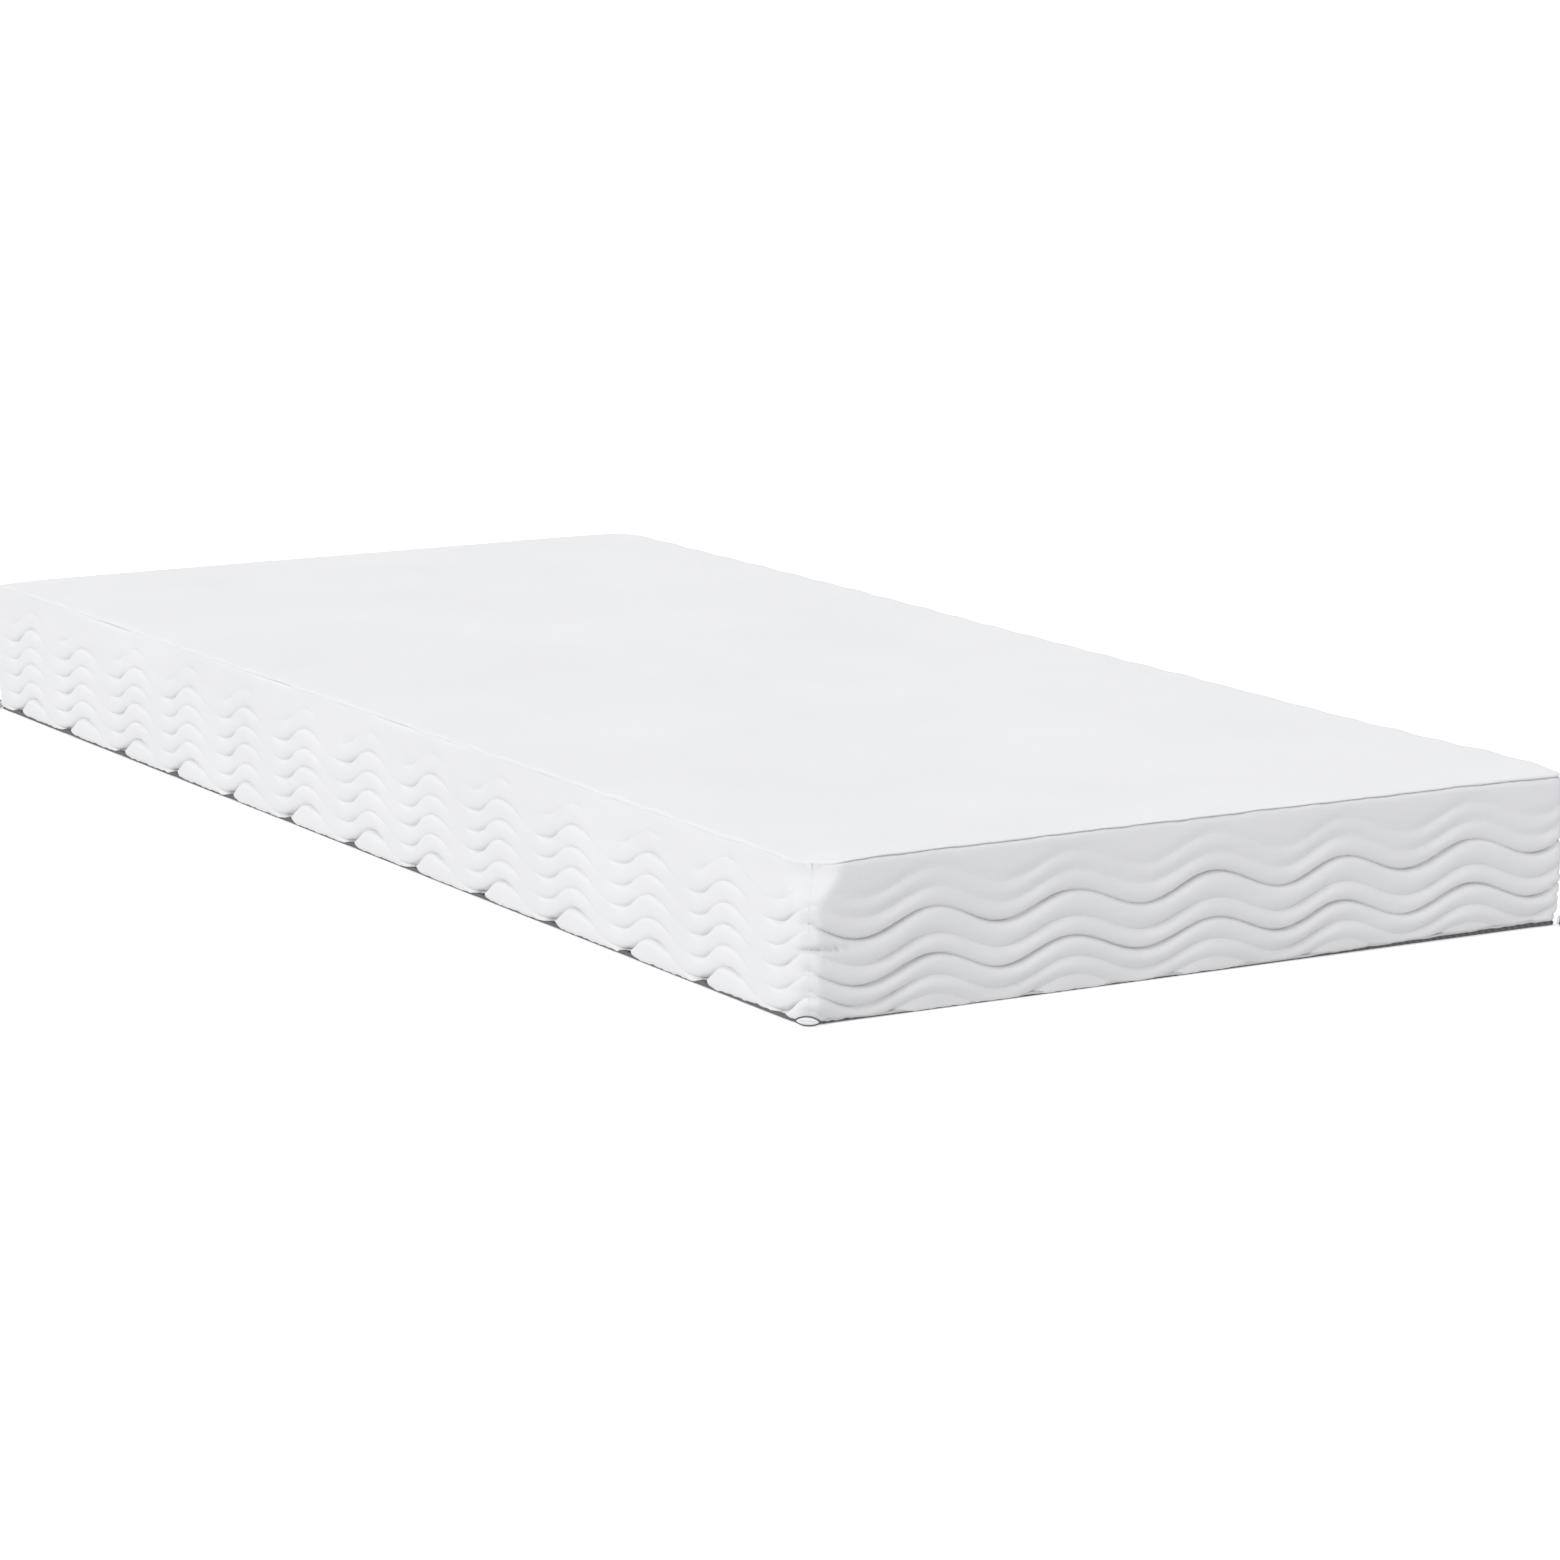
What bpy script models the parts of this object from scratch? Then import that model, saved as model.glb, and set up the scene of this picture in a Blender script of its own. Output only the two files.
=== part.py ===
"""Memory foam mattress: a two-layer foam core in a removable, wave-quilted cover.

Metres, +Z up. The origin is the middle of the base, +Y points to the head end, and left is -X.
The cover is a top panel, four border panels joined by upright corner seams, and a base panel.
A zip runs across the head end, low on the border; its slider travels and its pull flips over.
"""

from math import asin, cos, pi, sin

import bmesh
import bpy
from mathutils import Matrix, Vector

# Overall size
WIDTH = 0.900
LENGTH = 2.000
HEIGHT = 0.160
CORNER_RADIUS = 0.035
CORNER_STEPS = 6
GAP = 0.0003

# Layers, from the outside in
FABRIC = 0.0012
BORDER_WADDING = 0.0080
TOP_WADDING = 0.0068
BACKING = 0.0006
LINER = 0.0008
BASE_FABRIC = 0.0016
SEAM_TAPE = 0.0010
SEAM_TAPE_WIDTH = 0.0050
MEMORY_FOAM = 0.0480
GLUE = 0.0004

# Insets of the layers behind the border's outer face
WADDING_INSET = FABRIC + GAP
BACKING_INSET = WADDING_INSET + BORDER_WADDING + GAP
LINER_INSET = BACKING_INSET + BACKING + GAP
CORE_INSET = LINER_INSET + LINER + GAP

# Heights, from the base up and from the top down
BASE_TAPE_Z = BASE_FABRIC + GAP
WALL_BASE_Z = BASE_TAPE_Z + SEAM_TAPE + GAP
LINER_BASE_Z = BASE_FABRIC + GAP
CORE_BASE_Z = LINER_BASE_Z + LINER + GAP
LINER_SPLIT_Z = 0.060
TOP_RIM_Z = 0.1552
TOP_TAPE_Z = TOP_RIM_Z - GAP - SEAM_TAPE
WALL_TOP_Z = TOP_TAPE_Z - GAP
TOP_WADDING_TOP_Z = HEIGHT - FABRIC - GAP
LINER_TOP_Z = TOP_WADDING_TOP_Z - TOP_WADDING - GAP
CORE_TOP_Z = LINER_TOP_Z - LINER - GAP
MEMORY_BASE_Z = CORE_TOP_Z - MEMORY_FOAM
GLUE_BASE_Z = MEMORY_BASE_Z - GAP - GLUE
SUPPORT_TOP_Z = GLUE_BASE_Z - GAP

# The top panel curls down to its seam over this strip
TOP_RIM_WIDTH = 0.014
TOP_WADDING_INSET = 0.012

# Upright corner seams and the folded ends of their allowance
CORNER_TAPE_WIDTH = 0.0016
CORNER_TAPE_DEPTH = 0.0040
CORNER_GAP = CORNER_TAPE_WIDTH + 2 * GAP
TAB_WIDTH = 0.022
TAB_HEIGHT = 0.012
TAB_THICKNESS = 0.0024
TAB_BASE_Z = 0.0024

# Zip: depths are measured inwards from the head end's outer face
ZIP_Z = 0.028
ZIP_SLOT_HALF_HEIGHT = 0.0125
ZIP_SLOT_HALF_LENGTH = 0.410
TAPE_THICKNESS = 0.0008
TAPE_DEPTH = 0.0067
TAPE_INNER_EDGE = 0.0008
CHAIN_HALF_LENGTH = 0.3965
CHAIN_THICKNESS = 0.0018
CHAIN_HEIGHT = 0.0025
CHAIN_DEPTH = TAPE_DEPTH - GAP - CHAIN_THICKNESS
STOP_LENGTH = 0.0030
STOP_THICKNESS = 0.0026

SLIDER_LENGTH = 0.013
SLIDER_HALF_HEIGHT = 0.0044
SLIDER_PLATE = 0.0010
SLIDER_FLANGE = 0.0008
SLIDER_CLOSED_X = 0.385
SLIDER_OUTER_DEPTH = CHAIN_DEPTH - GAP - SLIDER_PLATE
SLIDER_INNER_DEPTH = TAPE_DEPTH + TAPE_THICKNESS + GAP
POST_LENGTH = 0.0040
POST_HEIGHT = 0.0010
BAIL_WINDOW_LENGTH = 0.0030
BAIL_WINDOW_HEIGHT = 0.0016
BAIL_LEG = 0.0012
BAIL_BAR = 0.0009
BAIL_WIDTH = 0.0016

PULL_LENGTH = 0.0205
PULL_WIDTH = 0.0060
PULL_THICKNESS = 0.0009
PULL_PIN = 0.0009
PULL_HOLE_LENGTH = 0.0040
PULL_HOLE_WIDTH = 0.0028
PULL_AXIS_DEPTH = SLIDER_OUTER_DEPTH - BAIL_WINDOW_HEIGHT / 2

# Care label, hanging from the top seam at the head end
LABEL_X = -0.330
LABEL_WIDTH = 0.030
LABEL_HEIGHT = 0.045
LABEL_THICKNESS = 0.0004

# Turn about +Z, half length along the border, and distance from the middle to the outer face
SIDES = {
    "head": (0.0, WIDTH / 2, LENGTH / 2),
    "left": (pi / 2, LENGTH / 2, WIDTH / 2),
    "foot": (pi, WIDTH / 2, LENGTH / 2),
    "right": (-pi / 2, LENGTH / 2, WIDTH / 2),
}

# Direction of each corner's rounding, and the signs of its centre
CORNERS = {
    "head_right": (pi / 4, 1, 1),
    "head_left": (3 * pi / 4, -1, 1),
    "foot_left": (5 * pi / 4, -1, -1),
    "foot_right": (7 * pi / 4, 1, -1),
}

# Colour, roughness and metallic value of each material
MATERIALS = {
    "top_knit": ((0.87, 0.87, 0.87, 1.0), 0.85, 0.0),
    "border_knit": ((0.86, 0.86, 0.87, 1.0), 0.85, 0.0),
    "wadding": ((0.90, 0.90, 0.89, 1.0), 1.0, 0.0),
    "backing": ((0.84, 0.84, 0.82, 1.0), 0.9, 0.0),
    "base_fabric": ((0.20, 0.20, 0.21, 1.0), 0.9, 0.0),
    "seam_tape": ((0.80, 0.80, 0.80, 1.0), 0.8, 0.0),
    "liner_knit": ((0.88, 0.88, 0.86, 1.0), 0.9, 0.0),
    "memory_foam": ((0.86, 0.82, 0.68, 1.0), 0.95, 0.0),
    "support_foam": ((0.83, 0.84, 0.85, 1.0), 0.95, 0.0),
    "glue": ((0.85, 0.80, 0.60, 1.0), 0.4, 0.0),
    "zip_tape": ((0.82, 0.82, 0.82, 1.0), 0.8, 0.0),
    "zip_chain": ((0.85, 0.85, 0.85, 1.0), 0.35, 0.0),
    "zip_metal": ((0.62, 0.62, 0.63, 1.0), 0.3, 1.0),
    "label": ((0.90, 0.90, 0.90, 1.0), 0.4, 0.0),
}


def clear_scene():
    for obj in list(bpy.data.objects):
        bpy.data.objects.remove(obj, do_unlink=True)
    for collection in list(bpy.data.collections):
        bpy.data.collections.remove(collection)


def make_collection(name):
    collection = bpy.data.collections.new(name)
    bpy.context.scene.collection.children.link(collection)
    return collection


def make_material(name):
    colour, roughness, metallic = MATERIALS[name]
    material = bpy.data.materials.new(name)
    material.use_nodes = True
    shader = material.node_tree.nodes["Principled BSDF"]
    shader.inputs["Base Color"].default_value = colour
    shader.inputs["Roughness"].default_value = roughness
    shader.inputs["Metallic"].default_value = metallic
    return material


def new_object(name, data, collection, material=None):
    obj = bpy.data.objects.new(name, data)
    collection.objects.link(obj)
    if material is not None:
        data.materials.append(material)
    return obj


def arc(centre, radius, start, end, steps):
    points = []
    for step in range(steps + 1):
        angle = start + (end - start) * step / steps
        points.append(centre + radius * Vector((cos(angle), sin(angle))))
    return points


def rounded_outline(inset):
    """The mattress's outline in plan, moved inwards by inset."""
    points = []
    radius = CORNER_RADIUS - inset
    for middle, sign_x, sign_y in CORNERS.values():
        centre = Vector((sign_x * (WIDTH / 2 - CORNER_RADIUS), sign_y * (LENGTH / 2 - CORNER_RADIUS)))
        points += arc(centre, radius, middle - pi / 4, middle + pi / 4, 2 * CORNER_STEPS)
    return points


def corner_arc(half_length, face, inset, sign):
    """Half a corner's rounding, from the straight stretch to the corner seam, beside a head border."""
    radius = CORNER_RADIUS - inset
    centre = Vector((sign * (half_length - CORNER_RADIUS), face - CORNER_RADIUS))
    turn = pi / 4 - asin(CORNER_GAP / 2 / radius)
    return arc(centre, radius, pi / 2, pi / 2 - sign * turn, CORNER_STEPS)


def turned(points, angle):
    rotation = Matrix.Rotation(angle, 2)
    return [rotation @ point for point in points]


def wall_outline(side, inset, thickness):
    """A border layer in plan: a straight run with half of a rounded corner at each end."""
    angle, half_length, face = SIDES[side]
    outline = []
    for layer_inset, order in ((inset, 1), (inset + thickness, -1)):
        right = corner_arc(half_length, face, layer_inset, 1)
        left = corner_arc(half_length, face, layer_inset, -1)
        path = left[::-1] + right
        outline += path[::order]
    return turned(outline, angle)


def end_wall_outline(sign, inset, thickness):
    """The stretch of the head border between the end of the zip and a corner seam."""
    angle, half_length, face = SIDES["head"]
    outline = []
    for layer_inset, order in ((inset, 1), (inset + thickness, -1)):
        start = Vector((sign * (ZIP_SLOT_HALF_LENGTH + GAP), face - layer_inset))
        path = [start] + corner_arc(half_length, face, layer_inset, sign)
        outline += path[::order]
    return turned(outline, angle)


def flat_piece(name, outlines, low, high, collection, material):
    """A flat piece cut to an outline; a second outline is a hole in it."""
    curve = bpy.data.curves.new(name, "CURVE")
    curve.dimensions = "2D"
    curve.fill_mode = "BOTH"
    curve.extrude = (high - low) / 2
    for outline in outlines:
        spline = curve.splines.new("POLY")
        spline.points.add(len(outline) - 1)
        for point, place in zip(spline.points, outline):
            point.co = (place.x, place.y, 0.0, 1.0)
        spline.use_cyclic_u = True
    obj = new_object(name, curve, collection, material)
    obj.location.z = (low + high) / 2
    return obj


def shell(name, rings, thickness, collection, material):
    """A fabric skin of the given thickness: walls through the rings, closed over the last one."""
    bm = bmesh.new()
    loops = []
    for inset, height in rings:
        loops.append([bm.verts.new((p.x, p.y, height)) for p in rounded_outline(inset)])
    for lower, upper in zip(loops, loops[1:]):
        count = len(lower)
        for i in range(count):
            j = (i + 1) % count
            bm.faces.new((lower[i], lower[j], upper[j], upper[i]))
    bm.faces.new(loops[-1])
    bmesh.ops.recalc_face_normals(bm, faces=bm.faces)
    mesh = bpy.data.meshes.new(name)
    bm.to_mesh(mesh)
    bm.free()
    obj = new_object(name, mesh, collection, material)
    solidify = obj.modifiers.new("thickness", "SOLIDIFY")
    solidify.thickness = thickness
    solidify.offset = -1.0
    solidify.use_even_offset = True
    return obj


def block(name, low, high, collection, material=None):
    """A box between two opposite corners."""
    low, high = Vector(low), Vector(high)
    bm = bmesh.new()
    place = Matrix.Translation((low + high) / 2) @ Matrix.Diagonal((*(high - low), 1.0))
    bmesh.ops.create_cube(bm, size=1.0, matrix=place)
    mesh = bpy.data.meshes.new(name)
    bm.to_mesh(mesh)
    bm.free()
    return new_object(name, mesh, collection, material)


def soften(obj, width, segments):
    bevel = obj.modifiers.new("soft edges", "BEVEL")
    bevel.width = width
    bevel.segments = segments
    bevel.limit_method = "ANGLE"


def join_solids(obj, others):
    """Union the others into obj; they stay in the scene as hidden guides."""
    for other in others:
        other.hide_render = True
        other.display_type = "WIRE"
        union = obj.modifiers.new("join " + other.name, "BOOLEAN")
        union.operation = "UNION"
        union.solver = "EXACT"
        union.object = other


def make_core(collection, materials):
    outline = rounded_outline(CORE_INSET)
    layers = (
        ("support_foam", CORE_BASE_Z, SUPPORT_TOP_Z, "support_foam"),
        ("glue_film", GLUE_BASE_Z, GLUE_BASE_Z + GLUE, "glue"),
        ("memory_foam", MEMORY_BASE_Z, CORE_TOP_Z, "memory_foam"),
    )
    for name, low, high, material in layers:
        flat_piece(name, [outline], low, high, collection, materials[material])


def make_liner(collection, materials):
    upper = [(LINER_INSET, LINER_SPLIT_Z + GAP), (LINER_INSET, LINER_TOP_Z)]
    lower = [(LINER_INSET, LINER_SPLIT_Z), (LINER_INSET, LINER_BASE_Z)]
    shell("core_liner_upper", upper, LINER, collection, materials["liner_knit"])
    shell("core_liner_lower", lower, LINER, collection, materials["liner_knit"])


def make_top(collection, materials):
    rise = HEIGHT - TOP_RIM_Z
    rings = []
    for share in (0.0, 1 / 6, 1 / 3, 1 / 2, 2 / 3, 5 / 6, 1.0):
        inset = TOP_RIM_WIDTH * (1 - cos(share * pi / 2))
        rings.append((inset, TOP_RIM_Z + rise * sin(share * pi / 2)))
    shell("top_panel", rings, FABRIC, collection, materials["top_knit"])
    flat_piece(
        "top_wadding",
        [rounded_outline(TOP_WADDING_INSET)],
        TOP_WADDING_TOP_Z - TOP_WADDING,
        TOP_WADDING_TOP_Z,
        collection,
        materials["wadding"],
    )


def make_base(collection, materials):
    outline = rounded_outline(0.0)
    flat_piece("bottom_panel", [outline], 0.0, BASE_FABRIC, collection, materials["base_fabric"])


def make_seam_tapes(collection, materials):
    for name, low in (("bottom_seam_tape", BASE_TAPE_Z), ("top_seam_tape", TOP_TAPE_Z)):
        rings = [rounded_outline(FABRIC), rounded_outline(FABRIC + SEAM_TAPE_WIDTH)]
        flat_piece(name, rings, low, low + SEAM_TAPE, collection, materials["seam_tape"])


def make_border(side, low, prefix, collection, materials):
    """One side's quilted border, as the knit outside, the wadding behind it and its backing."""
    layers = (
        ("panel", 0.0, FABRIC, "border_knit"),
        ("wadding", WADDING_INSET, BORDER_WADDING, "wadding"),
    )
    for layer, inset, thickness, material in layers:
        outline = wall_outline(side, inset, thickness)
        flat_piece(prefix + layer, [outline], low, WALL_TOP_Z, collection, materials[material])


def make_backing(side, collection, materials):
    outline = wall_outline(side, BACKING_INSET, BACKING)
    name = side + "_border_backing"
    flat_piece(name, [outline], WALL_BASE_Z, WALL_TOP_Z, collection, materials["backing"])


def make_borders(collection, materials):
    for side in ("foot", "left", "right"):
        make_border(side, WALL_BASE_Z, side + "_border_", collection, materials)
    make_border("head", ZIP_Z + ZIP_SLOT_HALF_HEIGHT, "head_border_", collection, materials)
    for side in SIDES:
        make_backing(side, collection, materials)


def make_zip_surround(collection, materials):
    """The padded strip under the zip, and the plain pieces that close the border at its ends."""
    slot_low = ZIP_Z - ZIP_SLOT_HALF_HEIGHT
    slot_high = ZIP_Z + ZIP_SLOT_HALF_HEIGHT
    layers = (
        ("head_lower_panel", 0.0, FABRIC, "border_knit"),
        ("head_lower_wadding", WADDING_INSET, BORDER_WADDING, "wadding"),
    )
    for name, inset, thickness, material in layers:
        outline = wall_outline("head", inset, thickness)
        flat_piece(name, [outline], WALL_BASE_Z, slot_low, collection, materials[material])
    for name, sign in (("zip_end_panel_right", 1), ("zip_end_panel_left", -1)):
        outline = end_wall_outline(sign, 0.0, FABRIC)
        low, high = slot_low + GAP, slot_high - GAP
        flat_piece(name, [outline], low, high, collection, materials["border_knit"])


def corner_place(name, radius):
    """A point on the corner's diagonal, at a radius from the centre of its rounding."""
    angle, sign_x, sign_y = CORNERS[name]
    x = sign_x * (WIDTH / 2 - CORNER_RADIUS) + radius * cos(angle)
    y = sign_y * (LENGTH / 2 - CORNER_RADIUS) + radius * sin(angle)
    return x, y


def make_corner_seam(corner, collection, materials):
    half = Vector((CORNER_TAPE_DEPTH / 2, CORNER_TAPE_WIDTH / 2, (WALL_TOP_Z - WALL_BASE_Z) / 2))
    name = "corner_seam_" + corner
    obj = block(name, -half, half, collection, materials["seam_tape"])
    x, y = corner_place(corner, CORNER_RADIUS - CORNER_TAPE_DEPTH / 2)
    obj.location = (x, y, (WALL_BASE_Z + WALL_TOP_Z) / 2)
    obj.rotation_euler.z = CORNERS[corner][0]


def make_corner_tab(corner, collection, materials):
    """The folded end of a corner seam's allowance, standing out just above the base."""
    half = TAB_WIDTH / 2
    centre = Vector((0.0, TAB_HEIGHT - half))
    outline = [Vector((-half, 0.0)), Vector((half, 0.0))]
    outline += arc(centre, half, 0.0, pi, 10)
    name = "corner_tab_" + corner
    material = materials["border_knit"]
    obj = flat_piece(name, [outline], -TAB_THICKNESS / 2, TAB_THICKNESS / 2, collection, material)
    x, y = corner_place(corner, CORNER_RADIUS + GAP + TAB_THICKNESS / 2)
    obj.location = (x, y, TAB_BASE_Z)
    obj.rotation_euler = (pi / 2, 0.0, CORNERS[corner][0] + pi / 2)


def make_zip_tapes_and_chains(collection, materials):
    face = LENGTH / 2
    for name, sign in (("upper", 1), ("lower", -1)):
        inner = ZIP_Z + sign * TAPE_INNER_EDGE
        outer = ZIP_Z + sign * (ZIP_SLOT_HALF_HEIGHT - GAP)
        tape_low, tape_high = sorted((inner, outer))
        block(
            "zip_tape_" + name,
            (GAP - ZIP_SLOT_HALF_LENGTH, face - TAPE_DEPTH - TAPE_THICKNESS, tape_low),
            (ZIP_SLOT_HALF_LENGTH - GAP, face - TAPE_DEPTH, tape_high),
            collection,
            materials["zip_tape"],
        )
        chain_low, chain_high = sorted((inner, inner + sign * CHAIN_HEIGHT))
        block(
            "zip_chain_" + name,
            (-CHAIN_HALF_LENGTH, face - CHAIN_DEPTH - CHAIN_THICKNESS, chain_low),
            (CHAIN_HALF_LENGTH, face - CHAIN_DEPTH, chain_high),
            collection,
            materials["zip_chain"],
        )


def make_zip_stops(collection, materials):
    """A metal stop at each end of the chain, bridging both halves."""
    face = LENGTH / 2
    half_height = TAPE_INNER_EDGE + CHAIN_HEIGHT
    for name, sign in (("zip_stop_right", 1), ("zip_stop_left", -1)):
        near = sign * (CHAIN_HALF_LENGTH + GAP)
        left, right = sorted((near, near + sign * STOP_LENGTH))
        stop = block(
            name,
            (left, face - TAPE_DEPTH + GAP, ZIP_Z - half_height),
            (right, face - TAPE_DEPTH + GAP + STOP_THICKNESS, ZIP_Z + half_height),
            collection,
            materials["zip_metal"],
        )
        soften(stop, 0.0006, 2)


def make_slider(collection, cutters, materials):
    """Two plates round the chain, joined by a post between its halves, with a bail for the pull."""
    face = LENGTH / 2
    x = SLIDER_CLOSED_X
    half_length = SLIDER_LENGTH / 2
    outer_back = face - SLIDER_OUTER_DEPTH - SLIDER_PLATE
    outer_front = face - SLIDER_OUTER_DEPTH
    inner_front = face - SLIDER_INNER_DEPTH
    slider = block(
        "zip_slider",
        (x - half_length, outer_back, ZIP_Z - SLIDER_HALF_HEIGHT),
        (x + half_length, outer_front, ZIP_Z + SLIDER_HALF_HEIGHT),
        collection,
        materials["zip_metal"],
    )
    inner_plate = block(
        "slider_inner_plate",
        (x - half_length, inner_front - SLIDER_PLATE, ZIP_Z - SLIDER_HALF_HEIGHT),
        (x + half_length, inner_front, ZIP_Z + SLIDER_HALF_HEIGHT),
        cutters,
    )
    post = block(
        "slider_post",
        (x - POST_LENGTH / 2, inner_front - SLIDER_PLATE / 2, ZIP_Z - POST_HEIGHT / 2),
        (x + POST_LENGTH / 2, outer_back + SLIDER_PLATE / 2, ZIP_Z + POST_HEIGHT / 2),
        cutters,
    )
    flanges = []
    for name, sign in (("upper", 1), ("lower", -1)):
        edge = ZIP_Z + sign * SLIDER_HALF_HEIGHT
        low, high = sorted((edge, edge - sign * SLIDER_FLANGE))
        flanges.append(
            block(
                "slider_flange_" + name,
                (x - half_length, face - TAPE_DEPTH + GAP, low),
                (x + half_length, outer_back + SLIDER_PLATE / 2, high),
                cutters,
            )
        )
    bail = make_bail(x, outer_front, cutters)
    join_solids(slider, [inner_plate, post, *flanges, bail])


def make_bail(x, foot_y, cutters):
    """The small arch on the slider, with the window that the pull's pin sits in."""
    half_window = BAIL_WINDOW_LENGTH / 2
    half_length = half_window + BAIL_LEG
    sunk = SLIDER_PLATE / 2
    top = BAIL_WINDOW_HEIGHT + BAIL_BAR
    outline = [
        Vector((-half_length, -sunk)),
        Vector((-half_window, -sunk)),
        Vector((-half_window, BAIL_WINDOW_HEIGHT)),
        Vector((half_window, BAIL_WINDOW_HEIGHT)),
        Vector((half_window, -sunk)),
        Vector((half_length, -sunk)),
        Vector((half_length, top - BAIL_BAR)),
        Vector((half_length - BAIL_BAR, top)),
        Vector((BAIL_BAR - half_length, top)),
        Vector((-half_length, top - BAIL_BAR)),
    ]
    bm = bmesh.new()
    face = bm.faces.new([bm.verts.new((p.x, p.y, -BAIL_WIDTH / 2)) for p in outline])
    raised = bmesh.ops.extrude_face_region(bm, geom=[face])["geom"]
    verts = [item for item in raised if isinstance(item, bmesh.types.BMVert)]
    bmesh.ops.translate(bm, verts=verts, vec=(0.0, 0.0, BAIL_WIDTH))
    bmesh.ops.recalc_face_normals(bm, faces=bm.faces)
    bmesh.ops.translate(bm, verts=bm.verts, vec=(x, foot_y, ZIP_Z))
    mesh = bpy.data.meshes.new("slider_bail")
    bm.to_mesh(mesh)
    bm.free()
    return new_object("slider_bail", mesh, cutters)


def make_pull(collection, materials):
    """The pull, with its pin in the slider's bail; its origin is on the pin's axis."""
    half = PULL_WIDTH / 2
    pin = PULL_PIN / 2
    hole_end = pin + PULL_HOLE_LENGTH
    half_hole = PULL_HOLE_WIDTH / 2
    outline = [Vector((pin, -half)), Vector((pin, half))]
    outline += arc(Vector((half - PULL_LENGTH, 0.0)), half, pi / 2, 3 * pi / 2, 8)
    hole = [
        Vector((-pin, -half_hole)),
        Vector((-pin, half_hole)),
        Vector((-hole_end, half_hole)),
        Vector((-hole_end, -half_hole)),
    ]
    thickness = PULL_THICKNESS / 2
    material = materials["zip_metal"]
    pull = flat_piece("zip_pull", [outline, hole], -thickness, thickness, collection, material)
    pull.location = (SLIDER_CLOSED_X, LENGTH / 2 - PULL_AXIS_DEPTH, ZIP_Z)
    pull.rotation_euler.x = pi / 2


def make_label(collection, materials):
    face = LENGTH / 2 + GAP
    block(
        "care_label",
        (LABEL_X - LABEL_WIDTH / 2, face, WALL_TOP_Z - LABEL_HEIGHT),
        (LABEL_X + LABEL_WIDTH / 2, face + LABEL_THICKNESS, WALL_TOP_Z),
        collection,
        materials["label"],
    )


def main():
    clear_scene()
    collection = make_collection("memory_foam_mattress")
    cutters = make_collection("guides")
    materials = {name: make_material(name) for name in MATERIALS}
    make_core(collection, materials)
    make_liner(collection, materials)
    make_top(collection, materials)
    make_base(collection, materials)
    make_seam_tapes(collection, materials)
    make_borders(collection, materials)
    make_zip_surround(collection, materials)
    for corner in CORNERS:
        make_corner_seam(corner, collection, materials)
        make_corner_tab(corner, collection, materials)
    make_zip_tapes_and_chains(collection, materials)
    make_zip_stops(collection, materials)
    make_slider(collection, cutters, materials)
    make_pull(collection, materials)
    make_label(collection, materials)


main()
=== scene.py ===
from functools import partial
from math import cos, pi, radians, sin

import bmesh
import bpy
import numpy as np
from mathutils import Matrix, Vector


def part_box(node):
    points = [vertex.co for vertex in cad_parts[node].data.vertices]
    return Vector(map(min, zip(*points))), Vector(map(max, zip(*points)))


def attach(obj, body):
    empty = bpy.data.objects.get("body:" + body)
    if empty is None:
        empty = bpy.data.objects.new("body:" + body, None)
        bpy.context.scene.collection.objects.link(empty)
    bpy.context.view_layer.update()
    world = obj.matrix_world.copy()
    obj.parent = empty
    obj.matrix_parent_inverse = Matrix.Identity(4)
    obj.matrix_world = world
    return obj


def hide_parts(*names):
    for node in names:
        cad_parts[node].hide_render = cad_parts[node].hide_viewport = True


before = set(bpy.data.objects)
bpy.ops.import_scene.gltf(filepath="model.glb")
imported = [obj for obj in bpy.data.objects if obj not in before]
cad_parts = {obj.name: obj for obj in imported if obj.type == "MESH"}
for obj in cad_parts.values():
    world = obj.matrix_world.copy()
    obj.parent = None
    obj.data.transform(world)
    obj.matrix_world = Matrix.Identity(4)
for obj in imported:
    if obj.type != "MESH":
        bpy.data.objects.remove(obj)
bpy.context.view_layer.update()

# The overall form, from the frame
HALF_WIDTH, HALF_LENGTH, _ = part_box("bottom_panel")[1]
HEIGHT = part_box("top_panel")[1][2]
ZIP_SLOT_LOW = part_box("head_lower_panel")[1][2]
ZIP_SLOT_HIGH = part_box("head_border_panel")[0][2]
ZIP_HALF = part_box("zip_tape_upper")[1][0]
FABRIC_GAP = 0.0004
LAMINATE = HALF_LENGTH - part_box("head_border_backing")[1][1] - FABRIC_GAP
TOP_BACK_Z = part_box("top_wadding")[0][2]

# Corners: how far from a corner its turning reaches, and the share of that reach which is cut
# across, at the base and at the top of the border
CORNER_REACH = 0.042
NEAR_CUT = (0.34, 0.86)
EVEN_CUT = (0.2, 0.24)
CUT_GROWS = (0.112, 0.148)
# How soft the edge of the cut is; on the left side of the near corner, as a share of the cut
CUT_SOFTNESS = 0.09
LEFT_CUT_SOFTNESS = 0.55
SEAM_HALF_GAP = 0.00005
CORNER_BLEND = 0.012

# The quilting: parallel waves, each line a soft valley with a crisp crease and its shoulders
WAVE = 0.0222
SOFT_GROOVE = 0.0032
SOFT_REACH = 0.0058
CREASE = 0.0034
CREASE_REACH = 0.0015
SHOULDER = 0.001
SHOULDER_REACH = 0.0036
PUFF = 0.001
BARREL = 0.0012
STRIP_BULGE = 0.0016
STITCH_STEP = 0.0042
STITCH_LENGTH = 0.0031
STITCH_RADIUS = 0.00032
STITCH_FREE = 0.014
BORDER_STEP = 0.0036
STRIP_STEP = 0.004

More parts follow.
